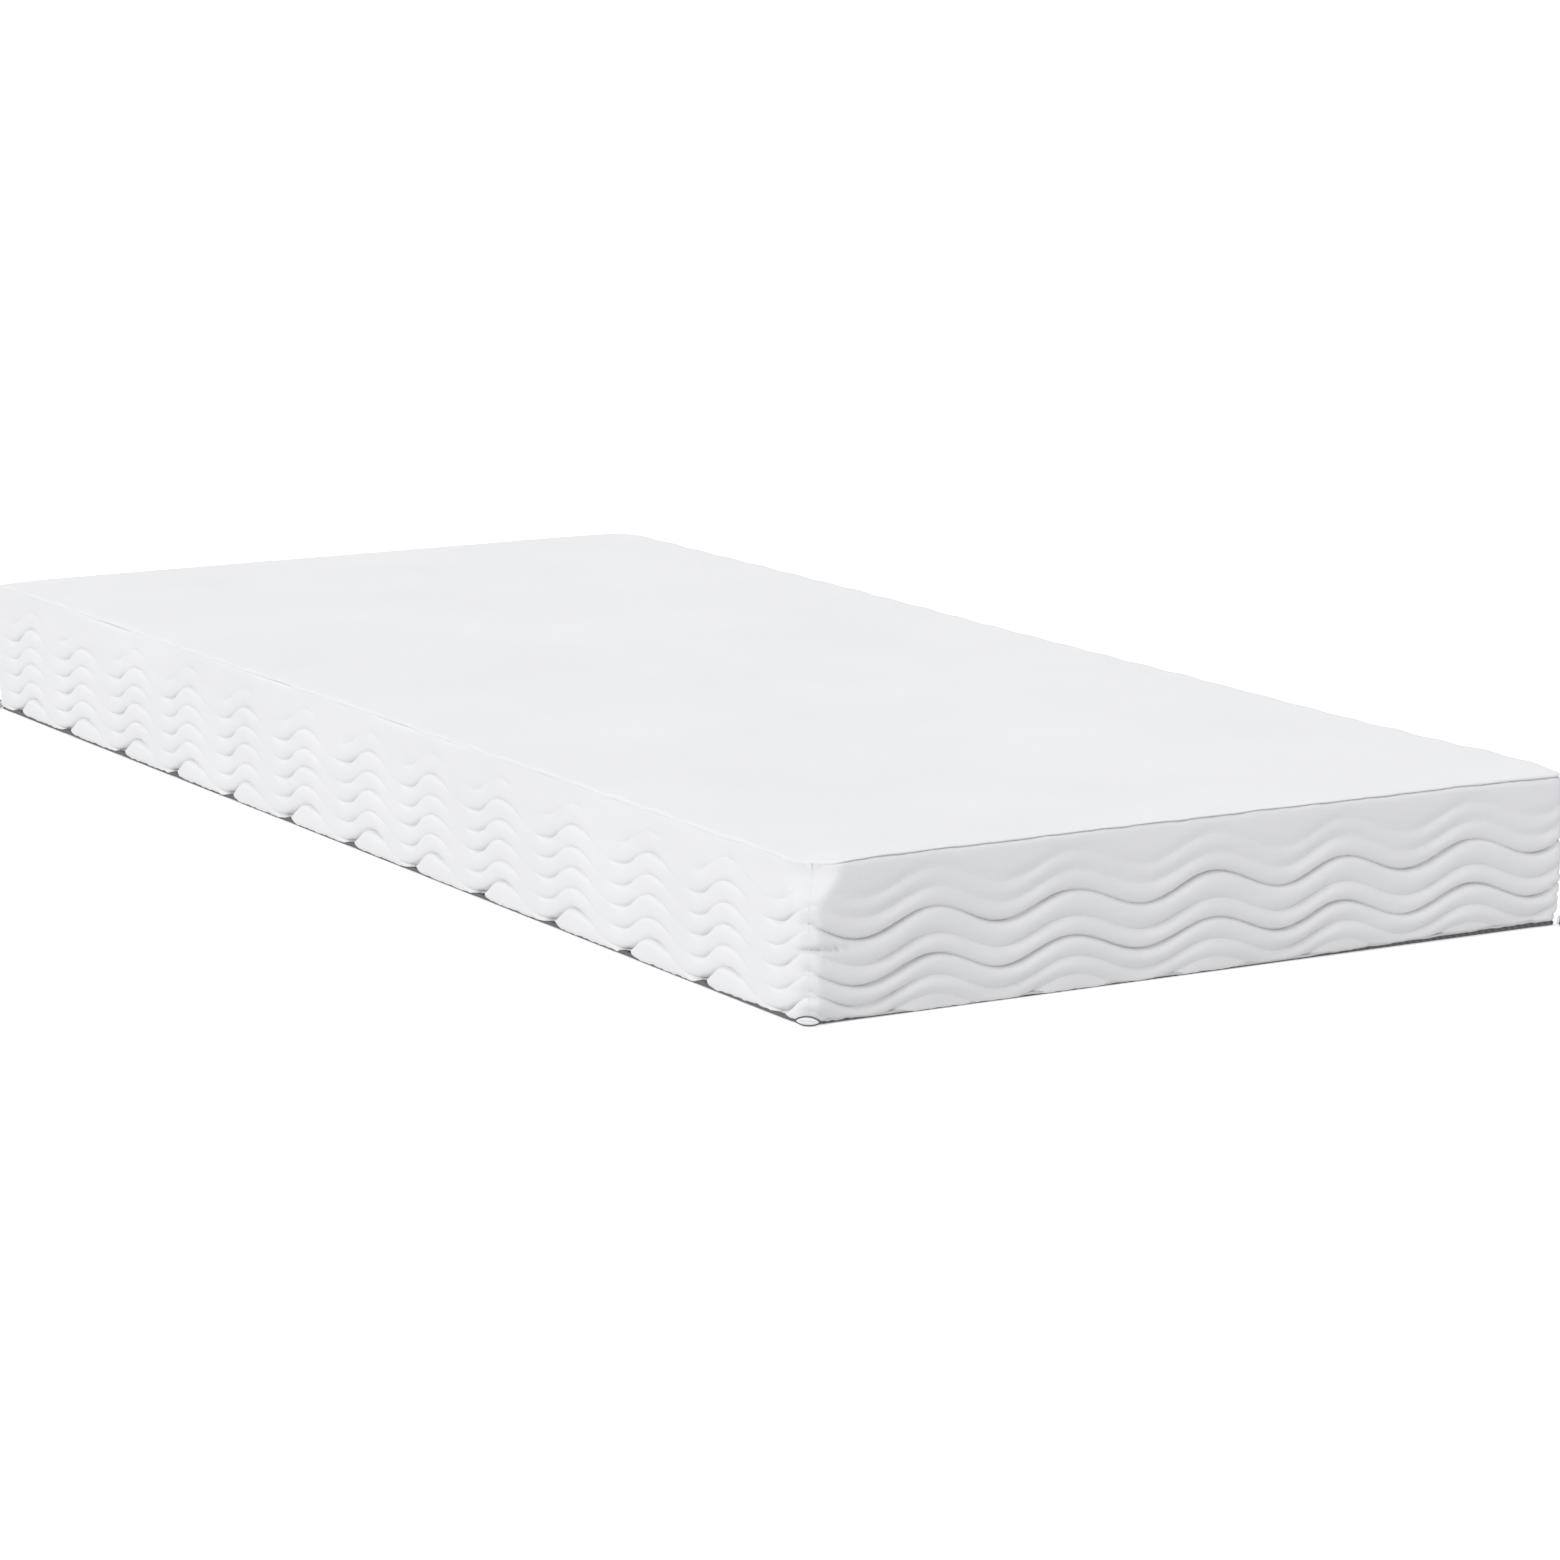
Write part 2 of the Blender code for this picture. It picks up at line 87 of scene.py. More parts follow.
# Seams: between the top and the border, and between the border and the base
SEAM_Z = 0.1553
SEAM_BOW = 0.0012
EDGE_Z = 0.0032
EDGE_SETBACK = 0.0048
ZIP_HEM = 0.004
ZIP_HEM_DEPTH = 0.006
ZIP_GAP = 0.0003
LOW_CORD_Z = 0.0027
# Small unevenness along the seams: a seed, how high it is and its typical length
FOOT_SEAM_SWAY = (83, 0.0006, 0.062)
EDGE_SWAYS = ((31, 0.0006, 0.05), (41, 0.0005, 0.017))
FULL_SWAY_Z = 0.002
EDGE_LEVEL_REACH = 0.02

# Turn about +Z, half length, distance from the middle to the outer face
SIDES = {
    "head": (0.0, HALF_WIDTH, HALF_LENGTH),
    "left": (pi / 2, HALF_LENGTH, HALF_WIDTH),
    "foot": (pi, HALF_WIDTH, HALF_LENGTH),
    "right": (-pi / 2, HALF_LENGTH, HALF_WIDTH),
}
# The corners at the start and the end of each side
ENDS = {
    "head": ("head_left", "head_right"),
    "left": ("foot_left", "head_left"),
    "foot": ("foot_right", "foot_left"),
    "right": ("head_right", "foot_right"),
}
CORNERS = {
    "head_right": (pi / 4, 1, 1),
    "head_left": (3 * pi / 4, -1, 1),
    "foot_left": (5 * pi / 4, -1, -1),
    "foot_right": (7 * pi / 4, 1, -1),
}
# How far the top seam dips at each corner
CORNER_DIPS = {
    "foot_left": 0.0048, "foot_right": 0.0012, "head_left": 0.0014, "head_right": 0.001,
}
DIP_REACH = 0.06

# Each side's waves. A line has the height of its troughs, and how deep its soft valley and its
# crisp crease are. Marks are the shares of a wave where the stitches pull hardest, each with its
# width and weight, and flank is what is left between them.
WAVES = {
    "foot": {
        "direction": -1, "start": -0.3857, "pitch": 0.16, "rise": 0.49, "flank": 0.5,
        "marks": ((0.2, 0.3, 1.0),),
        "lines": (
            (-0.006, 0.8, 0.3), (0.0125, 1.35, 0.6), (0.033, 0.9, 2.1), (0.053, 1.3, 0.6),
            (0.0785, 0.9, 1.95), (0.099, 1.1, 0.05), (0.119, 0.7, 0.0),
        ),
    },
    "left": {
        "direction": -1, "start": 0.9455, "pitch": 0.1575, "rise": 0.4, "flank": 0.02,
        "marks": ((0.09, 0.13, 1.0), (0.47, 0.14, 0.8)),
        "lines": (
            (0.0055, 0.45, 2.2), (0.027, 0.25, 0.85), (0.049, 0.3, 1.1), (0.07, 0.25, 0.8),
            (0.092, 0.3, 1.0), (0.115, 0.3, 0.2),
        ),
    },
    "right": {
        "direction": 1, "start": 0.03, "pitch": 0.158, "rise": 0.44, "flank": 0.45,
        "marks": ((0.25, 0.3, 1.0),),
        "lines": (
            (0.006, 0.7, 1.1), (0.028, 0.6, 1.1), (0.049, 0.6, 1.0), (0.07, 0.6, 1.0),
            (0.092, 0.6, 0.6), (0.115, 0.5, 0.1),
        ),
    },
    "head": {
        "direction": 1, "start": 0.012, "pitch": 0.16, "rise": 0.48, "flank": 0.5,
        "marks": ((0.25, 0.3, 1.0),),
        "lines": ((0.056, 0.6, 1.2), (0.077, 0.6, 1.2), (0.098, 0.65, 0.4), (0.118, 0.5, 0.05)),
    },
}
UPPER_LINES = 0.095
# How far up a row of quads is between two stitch lines, and up a strip
ROW_SHARES = (0.0, 0.028, 0.07, 0.13, 0.22, 0.35, 0.5, 0.65, 0.78, 0.87, 0.93, 0.972)
STRIP_SHARES = (0.0, 0.03, 0.1, 0.22, 0.36, 0.5, 0.64, 0.78, 0.9, 0.97, 1.0)


# ---- smooth, repeatable unevenness

def wobble(x, seed, scale):
    """A smooth wandering curve between about -1 and 1; scale is its typical length in metres."""
    rng = np.random.default_rng(seed)
    total = np.zeros_like(np.asarray(x, float))
    for octave in (1.0, 1.73, 2.9):
        phase = rng.uniform(0, 2 * pi)
        total = total + np.sin(2 * pi * octave * x / scale + phase) / octave
    return total / 1.92


def wobble_2d(x, y, seed, scale):
    rng = np.random.default_rng(seed)
    total = np.zeros(np.broadcast(x, y).shape)
    for octave in (1.0, 1.6, 2.7, 4.1):
        angle, phase = rng.uniform(0, 2 * pi, 2)
        along = x * cos(angle) + y * sin(angle)
        total = total + np.sin(2 * pi * octave * along / scale + phase) / octave
    return total / 2.2


def smooth_step(low, high, x):
    share = np.clip((x - low) / (high - low), 0, 1)
    return share * share * (3 - 2 * share)


def bell(x):
    """A smooth bump: 1 at 0, hardly anything past 2."""
    return np.exp(-(x**2))


# ---- the border as a surface

def reach_of(side):
    """Distance along the border from its middle to a corner seam, as if the corner were square."""
    return SIDES[side][1]


def end_closeness(side, along, reach):
    """From 0 to 1 near each end of a side."""
    return smooth_step(reach_of(side) - reach, reach_of(side), np.abs(along))


def at_nearer_end(side, along, value_of):
    """At every place along a side, the value that belongs to the nearer corner."""
    start, end = ENDS[side]
    return np.where(along < 0, value_of(start), value_of(end))


def seam_height(side, along):
    """Height of the top seam: bowed up a little along a side, dipping at the corners."""
    closeness = end_closeness(side, along, DIP_REACH)
    share = np.abs(along) / reach_of(side)
    dip = at_nearer_end(side, along, CORNER_DIPS.get)
    sway = 0.0005 * wobble(along, 11 + len(side), 0.21)
    if side == "foot":
        seed, size, length = FOOT_SEAM_SWAY
        sway = sway + size * wobble(along, seed, length)
    return SEAM_Z + SEAM_BOW * (1 - share**2) - dip * closeness + sway * (1 - closeness)


def seam_pull(side, along):
    """How hard the top seam is drawn in: hardly at all in places along the left side, and less
    by the near corner on the foot end."""
    if side == "left":
        patches = np.clip(1.6 * wobble(along, 23, 0.42), 0, 1) * smooth_step(-0.42, -0.2, along)
        return 0.03 + 0.6 * patches
    if side == "foot":
        uneven = 0.84 + 0.22 * wobble(along, 87, 0.034)
        by_corner = smooth_step(0.055, 0.015, reach_of(side) - along)
        return uneven * (1.0 - 0.78 * by_corner)
    return 0.85 + 0.15 * wobble(along, 29, 0.4)


def edge_height(side, along):
    """Height of the border's lower edge, where the dark base fabric starts. The dark band below the
    border is partly the base fabric's own colour and partly painted shade: its extra height by the
    near corner, towards the far ends and in notches under the left side's waves stands in for the
    shadow gap under the border's edge.
    """
    height = EDGE_Z + 0 * along
    if side == "foot":
        # painted shade: these terms raise the dark base band where the shadow gap under the
        # border's edge is wider
        near, far = smooth_step(0.32, 0.42, along), smooth_step(0.06, -0.4, along)
        height = 0.0012 + 0.0024 * near + 0.0048 * far
    if side == "left":
        near, far = smooth_step(-0.76, -0.92, along), smooth_step(0.1, 0.9, along)
        # painted shade: dark notches of base fabric under each wave's trough, standing in for shade
        # under the puffs
        shade_notches = swell(wave_share(side, along), 0.095, 0.08) * smooth_step(-0.96, -0.9, along)
        height = 0.0019 + 0.0046 * shade_notches + 0.0014 * far + 0.0019 * near
    for seed, size, length in EDGE_SWAYS:
        sway = size * wobble(along, seed + len(side), length)
        height = height + sway * np.minimum(height / FULL_SWAY_Z, 1)
    return height + (EDGE_Z - height) * end_closeness(side, along, EDGE_LEVEL_REACH)


def wave_share(side, along):
    """Where along a wave a point is: 0 at a trough, the rise's share at a crest."""
    waves = WAVES[side]
    place_along = along * waves["direction"] - waves["start"]
    uneven = 0.03 * wobble(along, 51 + len(side), 0.6)
    return np.mod(place_along / waves["pitch"] + uneven, 1.0)


def wave_height(side, along):
    """How far above its troughs a stitch line is."""
    rise = WAVES[side]["rise"]
    share = wave_share(side, along)
    up = 0.5 - 0.5 * np.cos(pi * share / rise)
    down = 0.5 + 0.5 * np.cos(pi * (share - rise) / (1 - rise))
    return WAVE * np.where(share < rise, up, down)


def swell(share, centre, width):
    """A smooth bump at one share of every wave."""
    return bell((np.mod(share - centre + 0.5, 1.0) - 0.5) / width)


def line_height(side, number, along):
    trough = WAVES[side]["lines"][number][0]
    drift = 0.0009 * wobble(along, 100 * number + len(side), 0.31)
    return trough + wave_height(side, along) + drift


def line_pull(side, number, along):
    """How hard a stitch line pulls in along a wave."""
    waves = WAVES[side]
    share = wave_share(side, along)
    marks = sum(weight * swell(share, centre, width) for centre, width, weight in waves["marks"])
    pull = waves["flank"] + (1 - waves["flank"]) * marks
    if waves["lines"][number][0] > UPPER_LINES:
        pull = pull**2
    return pull * (1 + 0.3 * wobble(along, 7 * number + 3 + len(side), 0.23))


def corner_cut(corner, z):
    """The share of a corner's reach that is cut across at a height."""
    low, high = NEAR_CUT if corner == "foot_left" else EVEN_CUT
    grown = smooth_step(*CUT_GROWS, z)
    ragged = 0.045 * wobble(z, 19, 0.034) * smooth_step(0.15, 0.12, z)
    return low + (high - low) * (grown + ragged)


def corner_offsets(turn, cut, softness):
    """Shares of a corner's reach, along a side and out from it: square, then across the cut. A
    softer edge to the cut starts it later, so that both sides still meet at one seam."""
    lost_at_seam = (cut + np.sqrt(cut**2 + CUT_SOFTNESS**2)) / 4
    past = turn - 1 + (16 * lost_at_seam**2 - softness**2) / (8 * lost_at_seam)
    first = past - turn
    lost = (past + np.sqrt(past**2 + softness**2)) / 4
    lost = lost - (first + np.sqrt(first**2 + softness**2)) / 4 * (1 - turn)
    return turn - lost, 1 - lost


def place(side, along, z, inset):
    """Points on the border: along it, up, and in from its face, round to the corner seams."""
    angle, half, face = SIDES[side]
    along, z, inset = np.broadcast_arrays(along, z, inset)
    straight = half - CORNER_REACH
    turn = np.clip((np.abs(along) - straight) / CORNER_REACH, 0, 1)
    cut = at_nearer_end(side, along, lambda corner: corner_cut(corner, z))
    soft = np.where((along < 0) & (side == "left"), LEFT_CUT_SOFTNESS * cut, CUT_SOFTNESS)
    u_share, v_share = corner_offsets(turn, cut, soft)
    size = CORNER_REACH - inset
    u = (np.minimum(np.abs(along), straight) + size * u_share) * np.sign(along)
    v = face - CORNER_REACH + size * v_share
    return np.stack([u * cos(angle) - v * sin(angle), u * sin(angle) + v * cos(angle), z], -1)


def edge_setback(side, along):
    """How far under the mattress the foot end's lower edge leans, half of it at its corners."""
    into_side = smooth_step(0.0, 0.04, reach_of(side) - np.abs(along))
    at_foot = at_nearer_end(side, along, lambda corner: float(corner.startswith("foot")))
    full = 1.0 if side == "foot" else 0.0
    return EDGE_SETBACK * at_foot * (0.5 + (full - 0.5) * into_side)


def edge_tuck(side, along):
    """How far the border's lower edge rolls in under it."""
    if side == "foot":
        near, far = smooth_step(0.36, 0.44, along), smooth_step(0.05, -0.4, along)
        return 0.001 + 0.0018 * far + 0.0012 * near
    return (0.0014 if side == "left" else 0.0028) + 0 * along


def foot_folds(along, z):
    """Folds of the foot end's knit by the near corner; the middle one lies in a stitch line."""
    near = np.maximum(reach_of("foot") - along, 0)
    pinched = 0.0074 * bell(near / 0.046) * np.exp(-np.abs(z - 0.0725) / 0.002)
    in_line = np.exp(-np.abs(z - line_height("foot", 1, along)) / 0.0014)
    folded = 0.0034 * bell((near - 0.055) / 0.045) * in_line
    upper = 0.003 * np.exp(-near / 0.014) * np.exp(-np.abs(z - 0.1165) / 0.0028)
    return pinched + folded + upper


def open_inset(side, along, z, low, high):
    """How far in from the face the quilted knit lies, away from the corners."""
    along, z = np.broadcast_arrays(along, z)
    share = (z - low) / (high - low)
    inset = -PUFF - BARREL * np.sin(pi * np.clip(share, 0, 1))
    for number, (_, soft, crisp) in enumerate(WAVES[side]["lines"]):
        away = np.abs(z - line_height(side, number, along))
        pucker = 1 + 0.1 * np.sin(2 * pi * along / 0.0117 + 3 * wobble(along, 90 + number, 0.09))
        valley = soft * SOFT_GROOVE * bell(away / SOFT_REACH) * pucker
        crease = crisp * CREASE * np.exp(-((away / CREASE_REACH) ** 1.5))
        shoulder = crisp * SHOULDER * np.exp(-away / SHOULDER_REACH)
        inset = inset + line_pull(side, number, along) * (valley + crease + shoulder)
    inset = inset + 0.0007 * wobble_2d(along, z * 3, 5 + len(side), 0.33)
    inset = inset + 0.00016 * wobble_2d(along * 0.8, z * 2, 15 + len(side), 0.035)
    if side == "foot":
        inset = inset + foot_folds(along, z)
    inset = inset + edge_setback(side, along) * smooth_step(0.026, 0.0, z)
    from_seam = high - z
    drawn_in = 0.0026 * np.exp(-from_seam / 0.0011) + 0.0014 * np.exp(-from_seam / 0.006)
    rolled_in = edge_tuck(side, along) * np.exp(-(z - low) / 0.0016)
    inset = inset + seam_pull(side, along) * drawn_in + rolled_in
    return np.minimum(inset, LAMINATE - FABRIC_GAP)


def corner_inset(corner, z):
    """Where two borders meet: halfway between their own surfaces."""
    total = 0.0
    for side, ends in ENDS.items():
        if corner in ends:
            along = reach_of(side) * (1.0 if ends[1] == corner else -1.0) + 0 * z
            low, high = edge_height(side, along), seam_height(side, along)
            total = total + open_inset(side, along, z, low, high)
    return total / 2 + 0.0005 * wobble(z, 17, 0.024)


def meet_at_corner(side, along, z, inset):
    """Bends a border's surface to the line where it meets its neighbour."""
    shared = at_nearer_end(side, along, lambda corner: corner_inset(corner, z))
    from_seam = reach_of(side) - np.abs(along)
    return inset + (shared - inset) * bell(from_seam / CORNER_BLEND)


def quilt_inset(side, along, z, low, high):
    """How far in from the face the quilted knit lies, anywhere."""
    along, z = np.broadcast_arrays(along, z)
    return meet_at_corner(side, along, z, open_inset(side, along, z, low, high))


def columns_for(reach):
    """Places along a border: finer towards its end seams."""
    end = reach - SEAM_HALF_GAP
    fine = np.array([0.0, 0.0012, 0.0027, 0.0047, 0.0075])
    inner = end - 0.011
    count = int(round(2 * inner / BORDER_STEP))
    ends = end - fine
    return np.concatenate([-ends, np.linspace(-inner, inner, count + 1), ends[::-1]])


def grid_faces(rows, columns):
    """Quads of a grid of rows by columns, numbered row by row."""
    row, column = np.meshgrid(np.arange(rows - 1), np.arange(columns - 1), indexing="ij")
    first = (row * columns + column).ravel()
    return np.stack([first, first + 1, first + columns + 1, first + columns], 1).tolist()


def link_object(name, data):
    obj = bpy.data.objects.new(name, data)
    bpy.context.scene.collection.objects.link(obj)
    return obj


def make_mesh(name, verts, faces, uvs):
    """A smooth mesh object; verts holds three numbers and uvs two metres for each vertex."""
    mesh = bpy.data.meshes.new(name)
    mesh.from_pydata(np.reshape(verts, (-1, 3)).tolist(), [], faces)
    layer = mesh.uv_layers.new(name="metres")
    loops = np.empty(len(mesh.loops), int)
    mesh.loops.foreach_get("vertex_index", loops)
    layer.data.foreach_set("uv", np.reshape(uvs, (-1, 2))[loops].ravel())
    mesh.validate()
    bm = bmesh.new()
    bm.from_mesh(mesh)
    bmesh.ops.recalc_face_normals(bm, faces=bm.faces)
    bm.to_mesh(mesh)
    bm.free()
    mesh.shade_smooth()
    return link_object(name, mesh)


def thicken(obj, thickness, offset):
    solidify = obj.modifiers.new("thickness", "SOLIDIFY")
    solidify.thickness = thickness
    solidify.offset = offset


def border_rows(side, along, low):
    """Heights of the rows at every place along: they follow the stitch lines."""
    lines = [low(side, along)]
    for number in range(len(WAVES[side]["lines"])):
        lines.append(np.maximum(line_height(side, number, along), lines[-1] + 0.0022))
    lines.append(seam_height(side, along))
    rows = []
    for first, second in zip(lines, lines[1:]):
        rows += [first + (second - first) * share for share in ROW_SHARES]
    rows.append(lines[-1])
    return np.array(rows)


def quilted_border(side, low, low_depth):
    """Knit and wadding sewn as one pad: a quilted front and a plain flat back. low_depth is how
    far in its lower edge is turned."""
    along = columns_for(reach_of(side))
    rows = border_rows(side, along, low)
    inset = quilt_inset(side, along, rows, rows[0], rows[-1])
    back = np.full_like(rows[:1], LAMINATE)
    low_back = np.full_like(back, low_depth)
    edge = 0.0002
    heights = np.concatenate([rows[:1], rows[:1] - edge, rows, rows[-1:] + edge, rows[-1:]])
    insets = np.concatenate([low_back, low_back * 0.7, inset, back * 0.5, back])
    return closed_grid(side + "_border", side, along, heights, insets)


def closed_grid(name, side, along, heights, insets):
    """A piece of border from its grid, whose first and last rows both lie on the back."""
    points = place(side, along, heights, insets)
    uv = np.stack(np.broadcast_arrays(along, heights), -1)
    index = np.arange(heights.size).reshape(heights.shape)
    back = np.stack([index[-1, :-1], index[-1, 1:], index[0, 1:], index[0, :-1]], 1).tolist()
    faces = grid_faces(*heights.shape) + back + [index[:, 0].tolist(), index[::-1, -1].tolist()]
    obj = make_mesh(name, points, faces, uv)
    obj.data.set_sharp_from_angle(angle=radians(75))
    return obj


def strip_inset(along, share, bulge):
    """How far in a padded strip's front lies; share is how far up the strip a point is."""
    pucker = 0.0003 * np.sin(2 * pi * along / 0.011 + 2 * wobble(along, 5, 0.1)) * share**2
    edges = 0.0006 + 0.0014 * np.abs(2 * share - 1) ** 5
    return edges - bulge * np.sin(pi * share) + 0.0004 * wobble(along, 61, 0.09) + pucker


def head_strip(name, start, end, low, high, depths, bulge):
    """A padded or flat strip of the head end between two places along it. low and high give its
    edges at every place, and depths how far in its back lies at each of them."""
    count = int(round((end - start) / STRIP_STEP)) + 1
    along = np.linspace(start, end, count)
    shares = np.array(STRIP_SHARES)[:, None]
    low_z, high_z = low("head", along), high("head", along)
    heights = low_z + (high_z - low_z) * shares
    inset = strip_inset(along, shares, bulge)
    inset = meet_at_corner("head", along, heights, inset)
    low_back, high_back = (np.full_like(heights[:1], depth) for depth in depths)
    heights = np.concatenate([heights[:1], heights, heights[-1:]])
    return closed_grid(name, "head", along, heights, np.concatenate([low_back, inset, high_back]))


# ---- sheets with rounded corners

TINY = 1e-6


def plan_lines(spacing, rings):
    """Grid lines over the mattress in plan, across and along it, with rings near its edge."""
    lines = []
    for size in (HALF_WIDTH, HALF_LENGTH):
        inner = size - CORNER_REACH
        count = int(round(2 * inner / spacing))
        outer = size - np.array(rings)
        lines.append(np.concatenate([-outer, np.linspace(-inner, inner, count + 1), outer[::-1]]))
    return lines


def plan_grid(spacing, rings):
    """Where each point of a sheet is: its ring, its side and its place along that side."""
    x, y = np.meshgrid(*plan_lines(spacing, rings), indexing="ij")
    from_x, from_y = HALF_WIDTH - np.abs(x), HALF_LENGTH - np.abs(y)
    dx, dy = CORNER_REACH - from_x, CORNER_REACH - from_y
    corner = (dx > TINY) & (dy > TINY)
    on_long = np.where(corner, dx >= dy, from_x < from_y)
    turn = np.where(corner, np.minimum(dx, dy) / np.maximum(np.maximum(dx, dy), 1e-9), 0.0)
    first = np.where(on_long, x < 0, y > 0)
    straight = np.where(on_long, HALF_LENGTH, HALF_WIDTH) - CORNER_REACH
    size = np.where(on_long, np.abs(y), np.abs(x))
    along = np.where(corner, straight + CORNER_REACH * turn, size)
    sign = np.where(on_long, np.sign(y), np.sign(x)) * np.where(first, 1, -1)
    return {
        "x": x, "y": y, "from_x": from_x, "from_y": from_y, "corner": corner, "on_long": on_long,
        "turn": turn, "first": first, "along": along * sign, "ring": np.minimum(from_x, from_y),
    }


def plan_place(grid, inset, z):
    """The grid's x and y with its rings moved to their insets and its corners cut."""
    x, y, corner, on_long = (grid[name] for name in ("x", "y", "corner", "on_long"))
    cut = np.zeros_like(x)
    for name, (_, sign_x, sign_y) in CORNERS.items():
        cut = np.where((np.sign(x) == sign_x) & (np.sign(y) == sign_y), corner_cut(name, z), cut)
    soft = np.where((x < 0) & (y < 0) & on_long, LEFT_CUT_SOFTNESS * cut, CUT_SOFTNESS)
    along_share, out_share = corner_offsets(grid["turn"], cut, soft)
    moved = []
    for value, from_edge, half, faces_out in (
        (x, grid["from_x"], HALF_WIDTH, on_long), (y, grid["from_y"], HALF_LENGTH, ~on_long),
    ):
        near = (from_edge < CORNER_REACH - TINY) & ~corner
        straight = np.where(near, np.sign(value) * (half - inset), value)
        share = np.where(faces_out, out_share, along_share)
        turned = np.sign(value) * (half - CORNER_REACH + (CORNER_REACH - inset) * share)
        moved.append(np.where(corner, turned, straight))
    return moved


def by_side(function, grid):
    """A value that depends on the place along a side, for every point of a sheet."""
    out = np.zeros_like(grid["x"])
    for side in SIDES:
        mine = grid["on_long"] == (side in ("left", "right"))
        mine = mine & (grid["first"] == (side in ("left", "head")))
        out[mine] = function(side, grid["along"][mine])
    return out


def mound(x, y, height, middle, size):
    """A smooth mound on the top; middle and size are pairs across and along the mattress."""
    return height * bell((x - middle[0]) / size[0]) * bell((y - middle[1]) / size[1])


def top_height(x, y):
    """The sleeping face: nearly flat, crowned a little, a bit fuller towards the right edge."""
    height = HEIGHT - 0.0006 + 0.0007 * wobble_2d(x, y, 77, 0.55)
    height = height + 0.0016 * (1 - (x / HALF_WIDTH) ** 4) * (1 - (y / HALF_LENGTH) ** 6)
    height = height + mound(x, y, 0.0044, (0.43, -0.9), (0.16, 0.1))
    height = height + mound(x, y, 0.0022, (0.45, 0.5), (0.12, 0.3))
    for name, (_, sign_x, sign_y) in CORNERS.items():
        corner = (sign_x * HALF_WIDTH, sign_y * HALF_LENGTH)
        height = height - mound(x, y, 1.25 * CORNER_DIPS[name], corner, (0.045, 0.045))
    return height


# The top's edge: rings of points in from the edge, how far in they lie and what share of the drop
# to the seam they take, where the seam is drawn in and where it is flush
TOP_RINGS = (0.0, 0.0008, 0.0016, 0.0026, 0.0042, 0.0066, 0.01, 0.0145, 0.02, 0.0268, 0.034)
TOP_INSETS = (
    0.004, 0.0018, 0.0009, 0.0007, 0.0016, 0.004, 0.008, 0.0132, 0.0193, 0.0265, 0.034,
)
FLUSH_INSETS = (
    0.0004, 0.0, 0.0, 0.0004, 0.0016, 0.0044, 0.0084, 0.0134, 0.0194, 0.0265, 0.034,
)
TOP_DROPS = (1.0, 0.96, 0.86, 0.7, 0.47, 0.28, 0.145, 0.065, 0.025, 0.006, 0.0)
FLUSH_DROPS = (1.0, 0.62, 0.26, 0.07, 0.01) + (0.0,) * 6
TOP_BACK_INSET = 0.006


def drawn_between(flush, drawn, grid, pull):
    """A value from the two tables for the top's edge, by how hard the seam is drawn in."""
    flush, drawn = (np.interp(grid["ring"], TOP_RINGS, table) for table in (flush, drawn))
    return flush + (drawn - flush) * pull


def make_top():
    """The plain knit top and its wadding: rolled over at the edge, down to the seam."""
    grid = plan_grid(0.01, TOP_RINGS)
    along, ring = grid["along"], grid["ring"]
    pull = by_side(seam_pull, grid)
    x, y = plan_place(grid, drawn_between(FLUSH_INSETS, TOP_INSETS, grid, pull), SEAM_Z)
    seam = by_side(seam_height, grid) + 0.0004 - 0.001 * (1 - pull)
    drop = drawn_between(FLUSH_DROPS, TOP_DROPS, grid, pull)
    surface = top_height(x, y)
    scallop = 0.0009 * np.cos(4 * pi * along / 0.158) * smooth_step(0.05, 0.004, ring)
    gather = 0.00022 * np.sin(2 * pi * along / 0.0135 + 2 * wobble(along, 3, 0.08))
    uneven = scallop * grid["on_long"] + gather * smooth_step(0.018, 0.002, ring)
    z = surface + (seam - surface) * drop + uneven * (1 - drop)
    verts = np.stack([x, y, z], -1).reshape(-1, 3)
    uv = verts[:, :2]
    faces = grid_faces(*x.shape)
    loop = boundary_loop(*x.shape)
    inward = verts[loop] * [1 - TOP_BACK_INSET / HALF_WIDTH, 1 - TOP_BACK_INSET / HALF_LENGTH, 1]
    back = inward.copy()
    back[:, 2] = TOP_BACK_Z
    count, n = len(verts), len(loop)
    for i in range(n):
        j = (i + 1) % n
        faces.append([loop[i], loop[j], count + j, count + i])
        faces.append([count + i, count + j, count + n + j, count + n + i])
    faces.append([count + n + i for i in range(n)])
    verts = np.concatenate([verts, inward, back])
    return make_mesh("top_cover", verts, faces, np.concatenate([uv, uv[loop], uv[loop]]))


def boundary_loop(rows, columns):
    """The rim of a grid, in order round it."""
    index = np.arange(rows * columns).reshape(rows, columns)
    sides = (index[0], index[1:, -1], index[-1, -2::-1], index[-2:0:-1, 0])
    return np.concatenate(sides).tolist()


# The base's edge: rings, how far in they lie and what share of the rise to the seam they take
BASE_RINGS = (0.0, 0.0007, 0.0014, 0.0022, 0.0034, 0.0052, 0.008, 0.013, 0.021, 0.031)
BASE_INSETS = (0.0052, 0.002, 0.0012, 0.0011, 0.0015, 0.0036, 0.0074, 0.013, 0.021, 0.031)
BASE_RISES = (1.0, 0.99, 0.8, 0.45, 0.12) + (0.0,) * 5
BASE_THICKNESS = 0.0008


